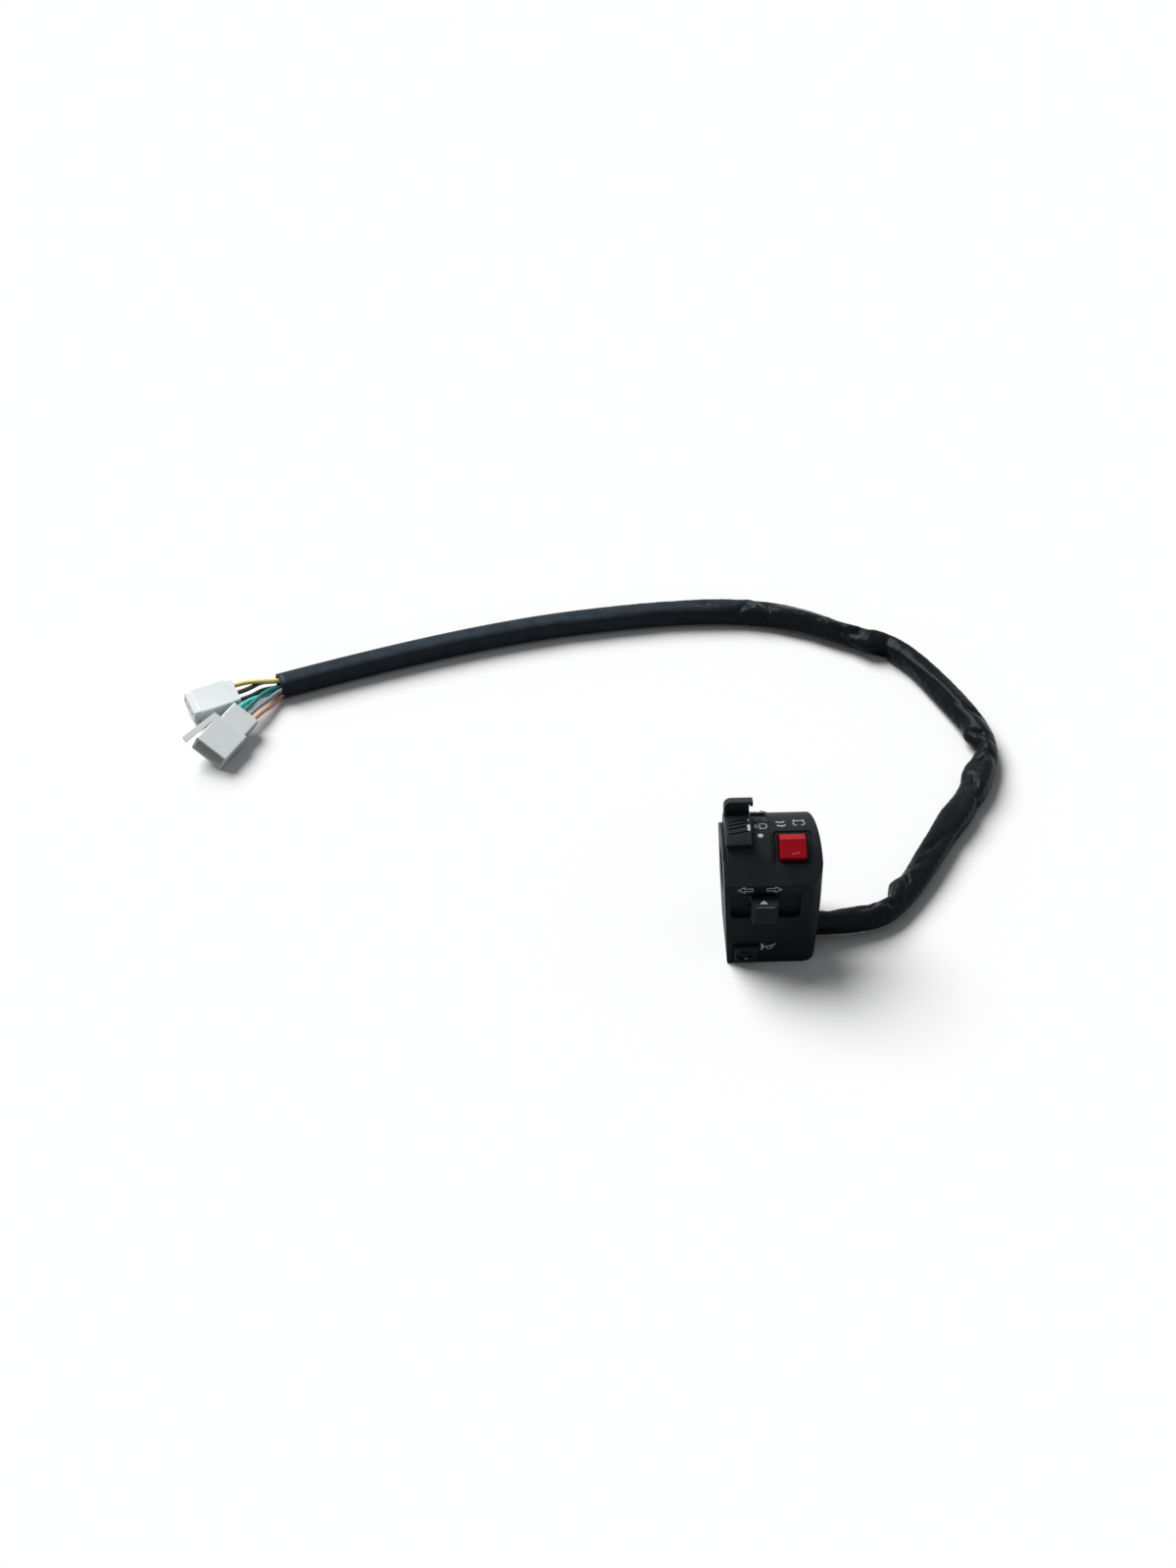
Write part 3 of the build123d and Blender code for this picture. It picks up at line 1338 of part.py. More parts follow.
# Open connector: rear body, shroud and the latch arm beside its mouth
lower_plane = lying_plane(lower_place, lower_yaw, lower_roll, shroud_width, shroud_height)
lower_rear = lower_plane.offset(-shroud_length / 2 - plug_rear_length)
latch_plane = Plane(
    origin=lower_plane.origin + lower_plane.y_dir * (shroud_height / 2 - latch_wall),
    x_dir=lower_plane.z_dir,
    z_dir=lower_plane.y_dir,
)
with BuildPart() as lower_connector:
    with BuildSketch(lower_rear):
        RectangleRounded(plug_rear_width, plug_rear_height, edge_radius)
    extrude(amount=plug_rear_length)
    with BuildSketch(lower_plane.offset(-shroud_length / 2)):
        RectangleRounded(shroud_width, shroud_height, edge_radius)
    extrude(amount=shroud_length)
    with BuildSketch(latch_plane):
        with BuildLine():
            Polyline(*latch_outline, close=True)
        make_face()
    extrude(amount=latch_wall)
    with BuildSketch(lower_plane.offset(shroud_wall - shroud_length / 2)):
        Rectangle(shroud_width - 2 * shroud_wall, shroud_height - 2 * shroud_wall)
    extrude(amount=shroud_length, mode=Mode.SUBTRACT)
    with BuildSketch(lower_rear):
        with GridLocations(blade_pitch, 0, 4, 1):
            Rectangle(blade_width + 2 * fit_gap, blade_wall + 2 * fit_gap)
    extrude(amount=shroud_length, mode=Mode.SUBTRACT)
lower_connector.part.label = "lower_connector"
export_step(lower_connector.part, "parts/lower_connector.step")

with BuildPart() as lower_terminals:
    with BuildSketch(lower_rear):
        with GridLocations(blade_pitch, 0, 4, 1):
            Rectangle(blade_width, blade_wall)
    extrude(amount=blade_length)
lower_terminals.part.label = "lower_terminals"
export_step(lower_terminals.part, "parts/lower_terminals.step")

# Coloured leads between the sleeve's end and the two connectors
sleeve_end = Vector(*sleeve_points[-1])
sleeve_run = (sleeve_end - Vector(*sleeve_points[-2])).normalized()
sleeve_end_plane = Plane(origin=sleeve_end, x_dir=(-sleeve_run.Y, sleeve_run.X, 0), z_dir=sleeve_run)


def lead(sleeve_place, rear_plane, rear_place):
    """Lead from its place in the sleeve's end to its place in the rear face of a connector."""
    return run_tube(
        (
            tuple(sleeve_end_plane.from_local_coords((*sleeve_place, 0))),
            tuple(sleeve_end_plane.from_local_coords((*sleeve_place, lead_run))),
            tuple(rear_plane.from_local_coords((rear_place, 0, -lead_run))),
            tuple(rear_plane.from_local_coords((rear_place, 0, 0))),
        ),
        wire_radius,
    )


with BuildPart() as wire_yellow:
    add(lead(yellow_place, upper_rear, -cell_pitch))
wire_yellow.part.label = "wire_yellow"
export_step(wire_yellow.part, "parts/wire_yellow.step")

with BuildPart() as wire_brown:
    add(lead(brown_place, upper_rear, 0))
wire_brown.part.label = "wire_brown"
export_step(wire_brown.part, "parts/wire_brown.step")

with BuildPart() as wire_black:
    add(lead(black_place, upper_rear, cell_pitch))
wire_black.part.label = "wire_black"
export_step(wire_black.part, "parts/wire_black.step")

with BuildPart() as wires_teal:
    add(lead(teal_places[0], lower_rear, -3 * blade_pitch / 2))
    add(lead(teal_places[1], lower_rear, -blade_pitch / 2))
wires_teal.part.label = "wires_teal"
export_step(wires_teal.part, "parts/wires_teal.step")

with BuildPart() as wire_grey:
    add(lead(grey_place, lower_rear, blade_pitch / 2))
wire_grey.part.label = "wire_grey"
export_step(wire_grey.part, "parts/wire_grey.step")

with BuildPart() as wire_orange:
    add(lead(orange_place, lower_rear, 3 * blade_pitch / 2))
wire_orange.part.label = "wire_orange"
export_step(wire_orange.part, "parts/wire_orange.step")
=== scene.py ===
import json
import math

import bmesh
import bpy
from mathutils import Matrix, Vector


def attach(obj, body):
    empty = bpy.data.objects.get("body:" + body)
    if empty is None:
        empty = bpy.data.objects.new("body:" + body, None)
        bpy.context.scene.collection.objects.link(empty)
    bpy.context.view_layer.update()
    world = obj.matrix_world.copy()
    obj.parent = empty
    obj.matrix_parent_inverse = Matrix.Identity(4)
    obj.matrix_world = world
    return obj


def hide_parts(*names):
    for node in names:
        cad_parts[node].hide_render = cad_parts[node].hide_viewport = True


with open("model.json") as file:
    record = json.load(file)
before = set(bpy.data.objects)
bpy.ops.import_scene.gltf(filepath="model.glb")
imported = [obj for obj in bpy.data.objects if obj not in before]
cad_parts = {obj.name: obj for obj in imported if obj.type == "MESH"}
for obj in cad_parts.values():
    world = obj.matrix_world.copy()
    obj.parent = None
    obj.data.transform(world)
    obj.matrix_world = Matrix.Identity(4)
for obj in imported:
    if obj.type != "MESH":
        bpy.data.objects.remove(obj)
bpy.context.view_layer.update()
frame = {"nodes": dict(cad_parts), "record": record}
nodes = frame["nodes"]
scene = bpy.context.scene
MM = 0.001
FLOOR = -0.040

# Camera at the photograph's viewing angle
camera_data = bpy.data.cameras.new("camera")
camera_data.lens = 67.95
camera_data.sensor_width = 36
camera_data.clip_end = 30
camera = bpy.data.objects.new("camera", camera_data)
camera.location = (-0.1260, -1.0504, 1.0154)
camera.rotation_euler = (math.radians(47.66), 0, math.radians(-2.0))
scene.collection.objects.link(camera)
scene.camera = camera


# Noise values that a colour and a roughness run between, and the share that a roughness drifts either way
ramp_low, ramp_high = 0.3, 0.7
gloss_drift = 0.12
drift_detail = 5
grain_detail = 3
translucent_depth = 0.004


def shader(name, colour, roughness, specular=0.5, metallic=0.0, grain=0.1, grain_scale=1500.0,
           depth=0.00004, shift=0.25, shift_scale=90.0, stretch=(1, 1, 1), subsurface=0.0):
    """Material whose colour and roughness drift slowly over the surface, with a fine relief of its own."""
    made = bpy.data.materials.new(name)
    made.use_nodes = True
    tree = made.node_tree
    base = tree.nodes["Principled BSDF"]
    base.inputs["Specular IOR Level"].default_value = specular
    base.inputs["Metallic"].default_value = metallic
    base.inputs["Subsurface Weight"].default_value = subsurface
    base.inputs["Subsurface Scale"].default_value = translucent_depth
    place = tree.nodes.new("ShaderNodeTexCoord")
    mapping = tree.nodes.new("ShaderNodeMapping")
    mapping.inputs["Scale"].default_value = stretch
    tree.links.new(place.outputs["Object"], mapping.inputs["Vector"])
    drift = tree.nodes.new("ShaderNodeTexNoise")
    drift.inputs["Scale"].default_value = shift_scale
    drift.inputs["Detail"].default_value = drift_detail
    tree.links.new(mapping.outputs["Vector"], drift.inputs["Vector"])
    tint = tree.nodes.new("ShaderNodeValToRGB")
    tint.color_ramp.elements[0].position = ramp_low
    tint.color_ramp.elements[1].position = ramp_high
    tint.color_ramp.elements[0].color = (*[c * (1 - shift) for c in colour], 1)
    tint.color_ramp.elements[1].color = (*[min(1, c * (1 + shift)) for c in colour], 1)
    tree.links.new(drift.outputs["Fac"], tint.inputs["Fac"])
    tree.links.new(tint.outputs["Color"], base.inputs["Base Color"])
    gloss = tree.nodes.new("ShaderNodeMapRange")
    gloss.inputs["From Min"].default_value = ramp_low
    gloss.inputs["From Max"].default_value = ramp_high
    gloss.inputs["To Min"].default_value = roughness * (1 - gloss_drift)
    gloss.inputs["To Max"].default_value = roughness * (1 + gloss_drift)
    tree.links.new(drift.outputs["Fac"], gloss.inputs["Value"])
    tree.links.new(gloss.outputs["Result"], base.inputs["Roughness"])
    pits = tree.nodes.new("ShaderNodeTexNoise")
    pits.inputs["Scale"].default_value = grain_scale
    pits.inputs["Detail"].default_value = grain_detail
    tree.links.new(mapping.outputs["Vector"], pits.inputs["Vector"])
    relief = tree.nodes.new("ShaderNodeBump")
    relief.inputs["Strength"].default_value = grain
    relief.inputs["Distance"].default_value = depth
    tree.links.new(pits.outputs["Fac"], relief.inputs["Height"])
    tree.links.new(relief.outputs["Normal"], base.inputs["Normal"])
    return made


materials = {
    "housing_black": shader("housing_black", (0.019, 0.022, 0.025), 0.46, 0.05, grain=0.30, grain_scale=2600),
    "control_black": shader("control_black", (0.018, 0.021, 0.024), 0.38, 0.07, grain=0.22, grain_scale=3200),
    "signal_red": shader("signal_red", (0.36, 0.002, 0.010), 0.26, 0.10, grain=0.06, shift=0.08),
    "red_highlight": shader("red_highlight", (0.72, 0.16, 0.18), 0.35, 0.3, grain=0.1, shift=0.06),
    "board_brown": shader("board_brown", (0.16, 0.075, 0.030), 0.55, grain=0.3, stretch=(1, 6, 1)),
    "inner_white": shader("inner_white", (0.62, 0.58, 0.47), 0.42, grain=0.15, shift=0.06, subsurface=0.1),
    "contact_brass": shader("contact_brass", (0.72, 0.48, 0.17), 0.30, metallic=1, grain=0.2,
                            stretch=(1, 8, 1)),
    "spring_steel": shader("spring_steel", (0.50, 0.51, 0.53), 0.28, metallic=1, grain=0.25,
                           stretch=(8, 1, 1)),
    "screw_steel": shader("screw_steel", (0.44, 0.45, 0.47), 0.34, metallic=1, grain=0.2),
    "clamp_steel": shader("clamp_steel", (0.42, 0.43, 0.45), 0.36, metallic=1, grain=0.25, stretch=(1, 6, 1)),
    "grommet_rubber": shader("grommet_rubber", (0.014, 0.015, 0.017), 0.62, 0.15, grain=0.4),
    "sleeve_vinyl": shader("sleeve_vinyl", (0.030, 0.041, 0.054), 0.27, 0.06, grain=0.35, grain_scale=420,
                           depth=0.00010, shift=0.20, shift_scale=120),
    "sleeve_inside": shader("sleeve_inside", (0.008, 0.009, 0.011), 0.6, 0.2, grain=0.3),
    "connector_nylon": shader("connector_nylon", (0.93, 1.0, 0.985), 0.40, 0.55, grain=0.2, shift=0.02,
                              shift_scale=220, subsurface=0.12),
    "lead_yellow": shader("lead_yellow", (0.84, 0.72, 0.20), 0.34, 0.45, grain=0.2, shift=0.08),
    "lead_brown": shader("lead_brown", (0.060, 0.042, 0.036), 0.38, 0.4, grain=0.2),
    "lead_black": shader("lead_black", (0.012, 0.013, 0.014), 0.36, 0.4, grain=0.2),
    "lead_teal": shader("lead_teal", (0.10, 0.74, 0.70), 0.30, 0.45, grain=0.2, shift=0.12),
    "lead_teal_dark": shader("lead_teal_dark", (0.010, 0.27, 0.25), 0.34, 0.45, grain=0.2, shift=0.12),
    "lead_grey": shader("lead_grey", (0.34, 0.37, 0.39), 0.36, 0.45, grain=0.2),
    "lead_orange": shader("lead_orange", (0.86, 0.40, 0.26), 0.36, 0.45, grain=0.2, shift=0.08),
    "ink_white": shader("ink_white", (0.34, 0.37, 0.39), 0.55, 0.3, grain=0.3, shift=0.10, shift_scale=600),
    "ink_bright": shader("ink_bright", (0.46, 0.50, 0.53), 0.50, 0.3, grain=0.3, shift=0.06,
                         shift_scale=600),
    "ink_faint": shader("ink_faint", (0.085, 0.095, 0.105), 0.55, 0.3, grain=0.3, shift=0.2,
                        shift_scale=600),
    # White ink of the front's print, with painted light: set far brighter than the crown's ink to make up for
    # the shade on the front faces
    "front_ink_with_painted_light": shader("front_ink_with_painted_light", (0.88, 0.90, 0.92), 0.55, 0.2, grain=0.3, shift=0.10, shift_scale=600),
}

# Painted shade: the sleeve's base colour darkens towards its switch end, where less light falls on it
painted_shade_span = (-0.09, 0.06)
painted_shade_darkest = 0.20
vinyl_tree = materials["sleeve_vinyl"].node_tree
vinyl_base = vinyl_tree.nodes["Principled BSDF"]
painted_shade_place = vinyl_tree.nodes.new("ShaderNodeTexCoord")
painted_shade_axes = vinyl_tree.nodes.new("ShaderNodeSeparateXYZ")
vinyl_tree.links.new(painted_shade_place.outputs["Object"], painted_shade_axes.inputs["Vector"])
painted_shade_factor = vinyl_tree.nodes.new("ShaderNodeMapRange")
painted_shade_factor.interpolation_type = "SMOOTHSTEP"
painted_shade_factor.inputs["From Min"].default_value = painted_shade_span[0]
painted_shade_factor.inputs["From Max"].default_value = painted_shade_span[1]
painted_shade_factor.inputs["To Min"].default_value = 1.0
painted_shade_factor.inputs["To Max"].default_value = painted_shade_darkest
vinyl_tree.links.new(painted_shade_axes.outputs["X"], painted_shade_factor.inputs["Value"])
# Multiplies the painted shade into the sleeve's base colour
painted_shade_mix = vinyl_tree.nodes.new("ShaderNodeMix")
painted_shade_mix.data_type = "RGBA"
painted_shade_mix.blend_type = "MULTIPLY"
painted_shade_mix.inputs["Factor"].default_value = 1
vinyl_tree.links.new(vinyl_base.inputs["Base Color"].links[0].from_socket, painted_shade_mix.inputs["A"])
vinyl_tree.links.new(painted_shade_factor.outputs["Result"], painted_shade_mix.inputs["B"])
vinyl_tree.links.new(painted_shade_mix.outputs["Result"], vinyl_base.inputs["Base Color"])

for row in frame["record"]["subparts"]:
    if row["node"] in nodes:
        mesh = nodes[row["node"]].data
        mesh.materials.clear()
        mesh.materials.append(materials[row["material_slot"]])


def piece(name, mesh, material, body="housing", replaces=(), smooth=True):
    """Links a mesh as a named piece that rides on a body."""
    made = bpy.data.objects.new(name, mesh)
    scene.collection.objects.link(made)
    mesh.materials.append(materials[material])
    for face in mesh.polygons:
        face.use_smooth = smooth
    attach(made, body)
    if replaces:
        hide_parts(*replaces)
    return made


def spline_points(route, steps):
    """Points read along the NURBS spline that has the route's points, in mm, as its control points."""
    curve = bpy.data.curves.new("route", "CURVE")
    curve.dimensions = "3D"
    curve.resolution_u = steps
    spline = curve.splines.new("NURBS")
    spline.points.add(len(route) - 1)
    for control, place in zip(spline.points, route):
        control.co = (*[value * MM for value in place], 1)
    spline.order_u = 3
    spline.use_endpoint_u = True
    holder = bpy.data.objects.new("route", curve)
    line = bpy.data.meshes.new_from_object(holder)
    points = [vertex.co.copy() for vertex in line.vertices]
    bpy.data.objects.remove(holder)
    bpy.data.curves.remove(curve)
    bpy.data.meshes.remove(line)
    return points


nearly_upright = 0.05


def stations(points):
    """Each point with its distance along the line, its direction, its outer side and its upward side."""
    found = []
    distance = 0
    for index, point in enumerate(points):
        ahead = points[min(index + 1, len(points) - 1)]
        behind = points[max(index - 1, 0)]
        if index:
            distance += (point - points[index - 1]).length
        along = (ahead - behind).normalized()
        up = Vector((0, 0, 1)) - along * along.z
        if up.length < nearly_upright:
            up = Vector((0, 1, 0)) - along * along.y
        up.normalize()
        found.append((point, distance, along, along.cross(up), up))
    return found


def skin(rings):
    """Mesh over rings of points, each ring with the same number of points, closed at both ends."""
    around = len(rings[0])
    points = [point for ring in rings for point in ring]
    faces = []
    for row in range(len(rings) - 1):
        for step in range(around):
            after = (step + 1) % around
            faces.append((row * around + step, row * around + after,
                          (row + 1) * around + after, (row + 1) * around + step))
    last = (len(rings) - 1) * around
    faces.append(tuple(range(around))[::-1])
    faces.append(tuple(last + step for step in range(around)))
    mesh = bpy.data.meshes.new("skin")
    mesh.from_pydata(points, [], faces)
    mesh.validate()
    return mesh


# Sleeve of the harness, from the switch round the right and over the top to the left
sleeve_route = (
    (23.0, -9.0, -31.2), (51.0, -9.0, -31.2), (70.0, 8.0, -33.5), (96.0, 55.0, -33.5),
    (116.0, 85.0, -33.5), (130.0, 121.0, -33.5), (116.0, 157.0, -33.5), (90.0, 206.0, -33.5),
    (62.0, 218.0, -33.5), (30.0, 238.0, -33.5), (-30.0, 243.5, -33.5), (-150.0, 224.0, -33.5),
    (-251.5, 185.0, -33.5),
)
# Folds of the wrinkled part: distance along, angle round from the outer side, depth, half length, half
# spread in degrees and slant in degrees for each millimetre; a negative depth swells
sleeve_folds = (
    (8, 150, 1.2, 6, 55, 0), (20, 60, 1.4, 4, 26, 3), (30, 118, 2.6, 5, 24, 3), (40, 70, 1.5, 4, 22, -5),
    (45, 176, 4.2, 3.2, 58, 0), (56, 165, -2.0, 6, 50, 0), (60, 96, 2.2, 4, 20, 5),
    (72, 120, 2.2, 5, 20, -4), (90, 92, 1.8, 8, 16, -3), (106, 15, 1.0, 8, 40, 0),
    (118, 150, -0.9, 12, 40, 0), (134, 8, 2.2, 4, 40, 0), (142, 80, 1.5, 5, 18, 5),
    (157, 176, -2.6, 9, 54, 0), (164, 104, 2.2, 3.6, 24, -7), (170, 70, 1.6, 3.4, 20, 7),
    (179, 178, 4.4, 3.2, 60, 0), (186, 112, 2.0, 3.4, 26, 8), (191, 168, -2.4, 6, 48, 0),
    (203, 75, 1.4, 6, 18, 4), (232, 125, 1.2, 20, 18, 0.6), (262, 150, 0.8, 8, 28, -2),
    (276, 178, 4.0, 3.0, 60, 0), (287, 172, -2.6, 7, 48, 0), (294, 104, 2.3, 3.6, 24, 6),
    (303, 130, 2.2, 3.4, 24, -7), (312, 70, 1.5, 4, 18, 5), (336, 178, -0.8, 12, 40, 0),
    (347, 112, 2.4, 3.2, 30, -8), (356, 84, -1.2, 4, 18, -7), (363, 122, 2.0, 3.4, 22, 6),
    (384, 100, 1.0, 8, 20, -3), (410, 150, 0.8, 12, 26, 1), (440, 120, 0.6, 14, 22, -1),
    (466, 140, 0.6, 9, 20, 2),
)
# Half width, half height, squareness and twist of the section at some distances along
sleeve_sections = (
    (0, 6.2, 6.0, 2.2, 0), (30, 6.2, 5.6, 3.0, 20), (45, 6.4, 5.4, 3.0, 50), (90, 7.1, 5.7, 3.2, 80),
    (150, 7.3, 5.7, 3.2, 112), (178, 6.3, 5.8, 2.8, 135), (215, 6.9, 5.7, 3.3, 160),
    (262, 6.7, 5.7, 3.3, 190), (320, 6.7, 6.0, 3.3, 235), (362, 6.4, 6.2, 3.4, 262),
    (412, 5.9, 6.0, 3.6, 268), (470, 5.7, 6.0, 3.8, 270), (700, 5.6, 6.0, 4.2, 270),
)
# A fold's reach in half lengths, and the powers of its fall along a crease, along a swelling and round both
fold_reach = 3
crease_sharpness, swell_sharpness, round_sharpness = 1.1, 2, 1.6
ripple_depth = 0.08
ripple_waves = (0.9, 0.37)
ripple_end, ripple_fade = 480, 60
least_radius, most_radius = 3.6, 9.6


def section_at(distance):
    """Half width, half height, squareness and twist of the sleeve's section, in mm and degrees."""
    for first, second in zip(sleeve_sections, sleeve_sections[1:]):
        if distance <= second[0]:
            share = (distance - first[0]) / (second[0] - first[0])
            share = share * share * (3 - 2 * share)
            return [a + (b - a) * share for a, b in zip(first[1:], second[1:])]
    raise ValueError("the sleeve is longer than its table of sections")


def sleeve_radius(distance, angle):
    """Distance of the sleeve's skin from its middle line, in mm; the angle runs from the outer side up."""
    half_width, half_height, squareness, twist = section_at(distance)
    turned = angle - math.radians(twist)
    radius = (abs(math.cos(turned) / half_height) ** squareness
              + abs(math.sin(turned) / half_width) ** squareness) ** (-1 / squareness)
    for place, middle, depth, length, spread, slant in sleeve_folds:
        away = distance - place
        if abs(away) < fold_reach * length:
            turn = math.degrees(angle) - middle - slant * away
            turn = (turn + 180) % 360 - 180
            sharp = crease_sharpness if depth > 0 else swell_sharpness
            radius -= depth * math.exp(-abs(away / length) ** sharp - abs(turn / spread) ** round_sharpness)
    quick, slow = ripple_waves
    ripple = math.sin(distance * quick + 2 * angle) * math.sin(distance * slow - angle * 3)
    radius += ripple_depth * ripple * min(1, max(0, (ripple_end - distance) / ripple_fade))
    return min(most_radius, max(least_radius, radius))


# Fineness of the sleeve's mesh; its wall in mm; its clearance over the floor and its open end's depth in m
sleeve_around = 72
sleeve_steps = 64
mouth_skip = 3
sleeve_wall = 0.7
floor_clearance = 0.0001
mouth_depth = 0.016
sleeve_line = spline_points(sleeve_route, sleeve_steps)
sleeve_stations = stations(sleeve_line)
sleeve_length = sleeve_stations[-1][1]


def sleeve_ring(station, inset):
    """Ring of the sleeve's skin at a station, drawn in by inset millimetres and kept off the floor."""
    point, distance, along, side, up = station
    twist = math.radians(section_at(distance / MM)[3])
    ring = []
    for step in range(sleeve_around):
        angle = math.tau * step / sleeve_around + twist
        reach = (sleeve_radius(distance / MM, angle) - inset) * MM
        place = point + side * (reach * math.cos(angle)) + up * (reach * math.sin(angle))
        place.z = max(place.z, FLOOR + floor_clearance)
        ring.append(place)
    return ring


mouth_stations = [s for s in sleeve_stations if s[1] > sleeve_length - mouth_depth][::-mouth_skip]
rings = [sleeve_ring(station, 0) for station in sleeve_stations]
rings += [sleeve_ring(station, sleeve_wall) for station in mouth_stations]
sleeve = piece("sleeve", skin(rings), "sleeve_vinyl", replaces=["cable_sleeve"])
sleeve.data.materials.append(materials["sleeve_inside"])
for face in sleeve.data.polygons[-len(mouth_stations) * sleeve_around:]:
    face.material_index = 1
sleeve.data.polygons[-1].use_smooth = False


lead_radius = 1.25
inner_lead_radius = 0.9
lead_steps = 16
lead_around = 20


def lead(name, route, material, replaces, radius=lead_radius):
    """Insulated lead whose middle line follows the route's spline."""
    turns = [math.tau * step / lead_around for step in range(lead_around)]
    rings = []
    for point, distance, along, side, up in stations(spline_points(route, lead_steps)):
        rings.append([point + (side * math.cos(turn) + up * math.sin(turn)) * radius * MM for turn in turns])
    return piece(name, skin(rings), material, replaces=replaces)


tip = Vector(sleeve_route[-1])
tip_run = (tip - Vector(sleeve_route[-2])).normalized()
tip_side = Vector((-tip_run.y, tip_run.x, 0))
# Middle of a connector's rear face, the direction its mouth faces and the side its cells are counted to
upper_rear = (Vector((-274.86, 179.71, -33.22)), Vector((-0.9063, -0.4226, 0)),
              Vector((0.4082, -0.8754, -0.2588)))
lower_rear = (Vector((-269.10, 158.16, -31.03)), Vector((-0.5, -0.866, 0)),
              Vector((0.7784, -0.4494, -0.4384)))
# Straight runs of a lead behind its connector and inside the sleeve
lead_run = 7.5
lead_start = 10
# Name, material, slot, node, place in the sleeve's end, points between, connector and place in its rear face
lead_rows = (
    ("lead_yellow", "lead_yellow", "lead_yellow", "wire_yellow", (-0.4, 3.2), ((-260.5, 185.4, -29.7),),
     upper_rear, -5.0),
    ("lead_brown", "lead_brown", "lead_brown", "wire_brown", (-3.4, 0.6), ((-261.6, 189.2, -33.4),),
     upper_rear, 0.0),
    ("lead_black", "lead_black", "lead_black", "wire_black", (-1.6, -2.0), ((-261.0, 184.4, -35.2),),
     upper_rear, 5.0),
    ("lead_teal_light", "lead_teal", "lead_teal", "wires_teal", (0.8, -3.4), ((-259.2, 177.0, -32.8),),
     lower_rear, -5.1),
    ("lead_teal_dark", "lead_teal_dark", "lead_teal", "wires_teal", (0.6, -0.2), ((-258.2, 179.2, -31.6),),
     lower_rear, -1.7),
    ("lead_grey", "lead_grey", "lead_grey", "wire_grey", (3.4, 0.4), ((-256.2, 174.8, -33.6),),
     lower_rear, 1.7),
    ("lead_orange", "lead_orange", "lead_orange", "wire_orange", (3.3, -2.6), ((-254.4, 173.2, -36.4),),
     lower_rear, 5.1),
)
for name, material, slot, node, place, between, (rear, facing, across), cell in lead_rows:
    inside = tip + tip_side * place[0] + Vector((0, 0, place[1]))
    entry = rear + across * cell
    route = (inside - tip_run * lead_start, inside, *between, entry - facing * lead_run, entry)
    lead(name, route, material, [node])

# Leads inside the housing
inner_routes = (
    ("inner_lead_horn", "lead_brown", ((5.5, -10.3, -32.5), (-7.2, -10.3, -32.5), (-7.2, -15.2, -32.5))),
    ("inner_lead_turn", "lead_teal", ((5.5, -10.3, -29.9), (1.2, -10.3, -29.9), (1.2, -12.6, -9.6),
                                      (1.2, -14.9, -9.6))),
    ("inner_lead_light", "lead_yellow", ((5.5, -7.7, -32.5), (-16.9, -7.7, -32.5), (-16.9, -15.2, -13.0),
                                         (-16.9, -15.2, 9.9), (-10.2, -15.2, 9.9))),
    ("inner_lead_stop", "lead_orange", ((5.5, -7.7, -29.9), (1.6, -7.7, -29.9), (1.6, -7.7, -22.5),
                                        (15.0, -12.0, -22.5), (15.0, -15.6, -6.1), (15.0, -14.41, 5.07),
                                        (15.0, -15.88, 8.14))),
)
for name, material, route in inner_routes:
    lead(name, route, material, ["inner_wires"], radius=inner_lead_radius)


# A mark's sharpest mitre, the step between its cuts and its height over the surface, both in mm
mitre_limit = 0.5
mark_step = 0.4
mark_height = 0.04


def stroke(points, width, closed=False):
    """Outlines of a line of even width with mitred corners, one four-sided outline for each run."""
    count = len(points)
    edges = []
    for index, point in enumerate(points):
        here = Vector(point)
        before = Vector(points[index - 1]) if closed or index else None
        after = Vector(points[(index + 1) % count]) if closed or index < count - 1 else None
        first = (here - before).normalized() if before is not None else (after - here).normalized()
        second = (after - here).normalized() if after is not None else first
        middle = (first + second).normalized()
        reach = width / 2 / max(mitre_limit, middle.dot(first))
        normal = Vector((-middle.y, middle.x)) * reach
        edges.append((here + normal, here - normal))
    pairs = list(zip(edges, edges[1:] + edges[:1])) if closed else list(zip(edges, edges[1:]))
    return [[a[0], a[1], b[1], b[0]] for a, b in pairs]


def arc(middle, radius, first, last, steps=12, flatten=1.0):
    """Points on an arc, its angles in degrees."""
    angles = [math.radians(first + (last - first) * step / steps) for step in range(steps + 1)]
    return [(middle[0] + radius * math.cos(angle), middle[1] + flatten * radius * math.sin(angle))
            for angle in angles]


def crown(radius):
    """Places a mark on a round surface about the bar: across along the bar, up over the crown to the rear."""
    def place(across, up):
        return Vector((across, radius * math.sin(up / radius), radius * math.cos(up / radius))) * MM
    return place


def front(reach):
    """Places a mark on a front face at that distance from the bar's axis."""
    return lambda across, up: Vector((across, -reach, up)) * MM


def mark(name, outlines, surface, material, body="housing"):
    """Thin mark, for print and for painted highlights: flat outlines in mm, cut fine and laid on the surface.
    """
    shape = bmesh.new()
    for outline in outlines:
        shape.faces.new([shape.verts.new((point[0], point[1], 0)) for point in outline])
    low = min(vertex.co.y for vertex in shape.verts)
    high = max(vertex.co.y for vertex in shape.verts)
    level = low + mark_step
    while level < high:
        bmesh.ops.bisect_plane(shape, geom=shape.verts[:] + shape.edges[:] + shape.faces[:],
                               plane_co=(0, level, 0), plane_no=(0, 1, 0))
        level += mark_step
    bmesh.ops.triangulate(shape, faces=shape.faces[:])
    for vertex in shape.verts:
        vertex.co = surface(vertex.co.x, vertex.co.y)
    mesh = bpy.data.meshes.new(name)
    shape.to_mesh(mesh)
    shape.free()
    return piece(name, mesh, material, body=body, smooth=False)


# Surfaces that carry marks, by their distance from the bar's axis in mm
left_crown = crown(27 + mark_height)
right_crown = crown(26.5 + mark_height)
lever_face = crown(30.705 + mark_height)
front_face = front(27 + mark_height)
horn_panel = front(26.5 + mark_height)
knob_front = front(34 + mark_height)
horn_front = front(29.41 + mark_height)

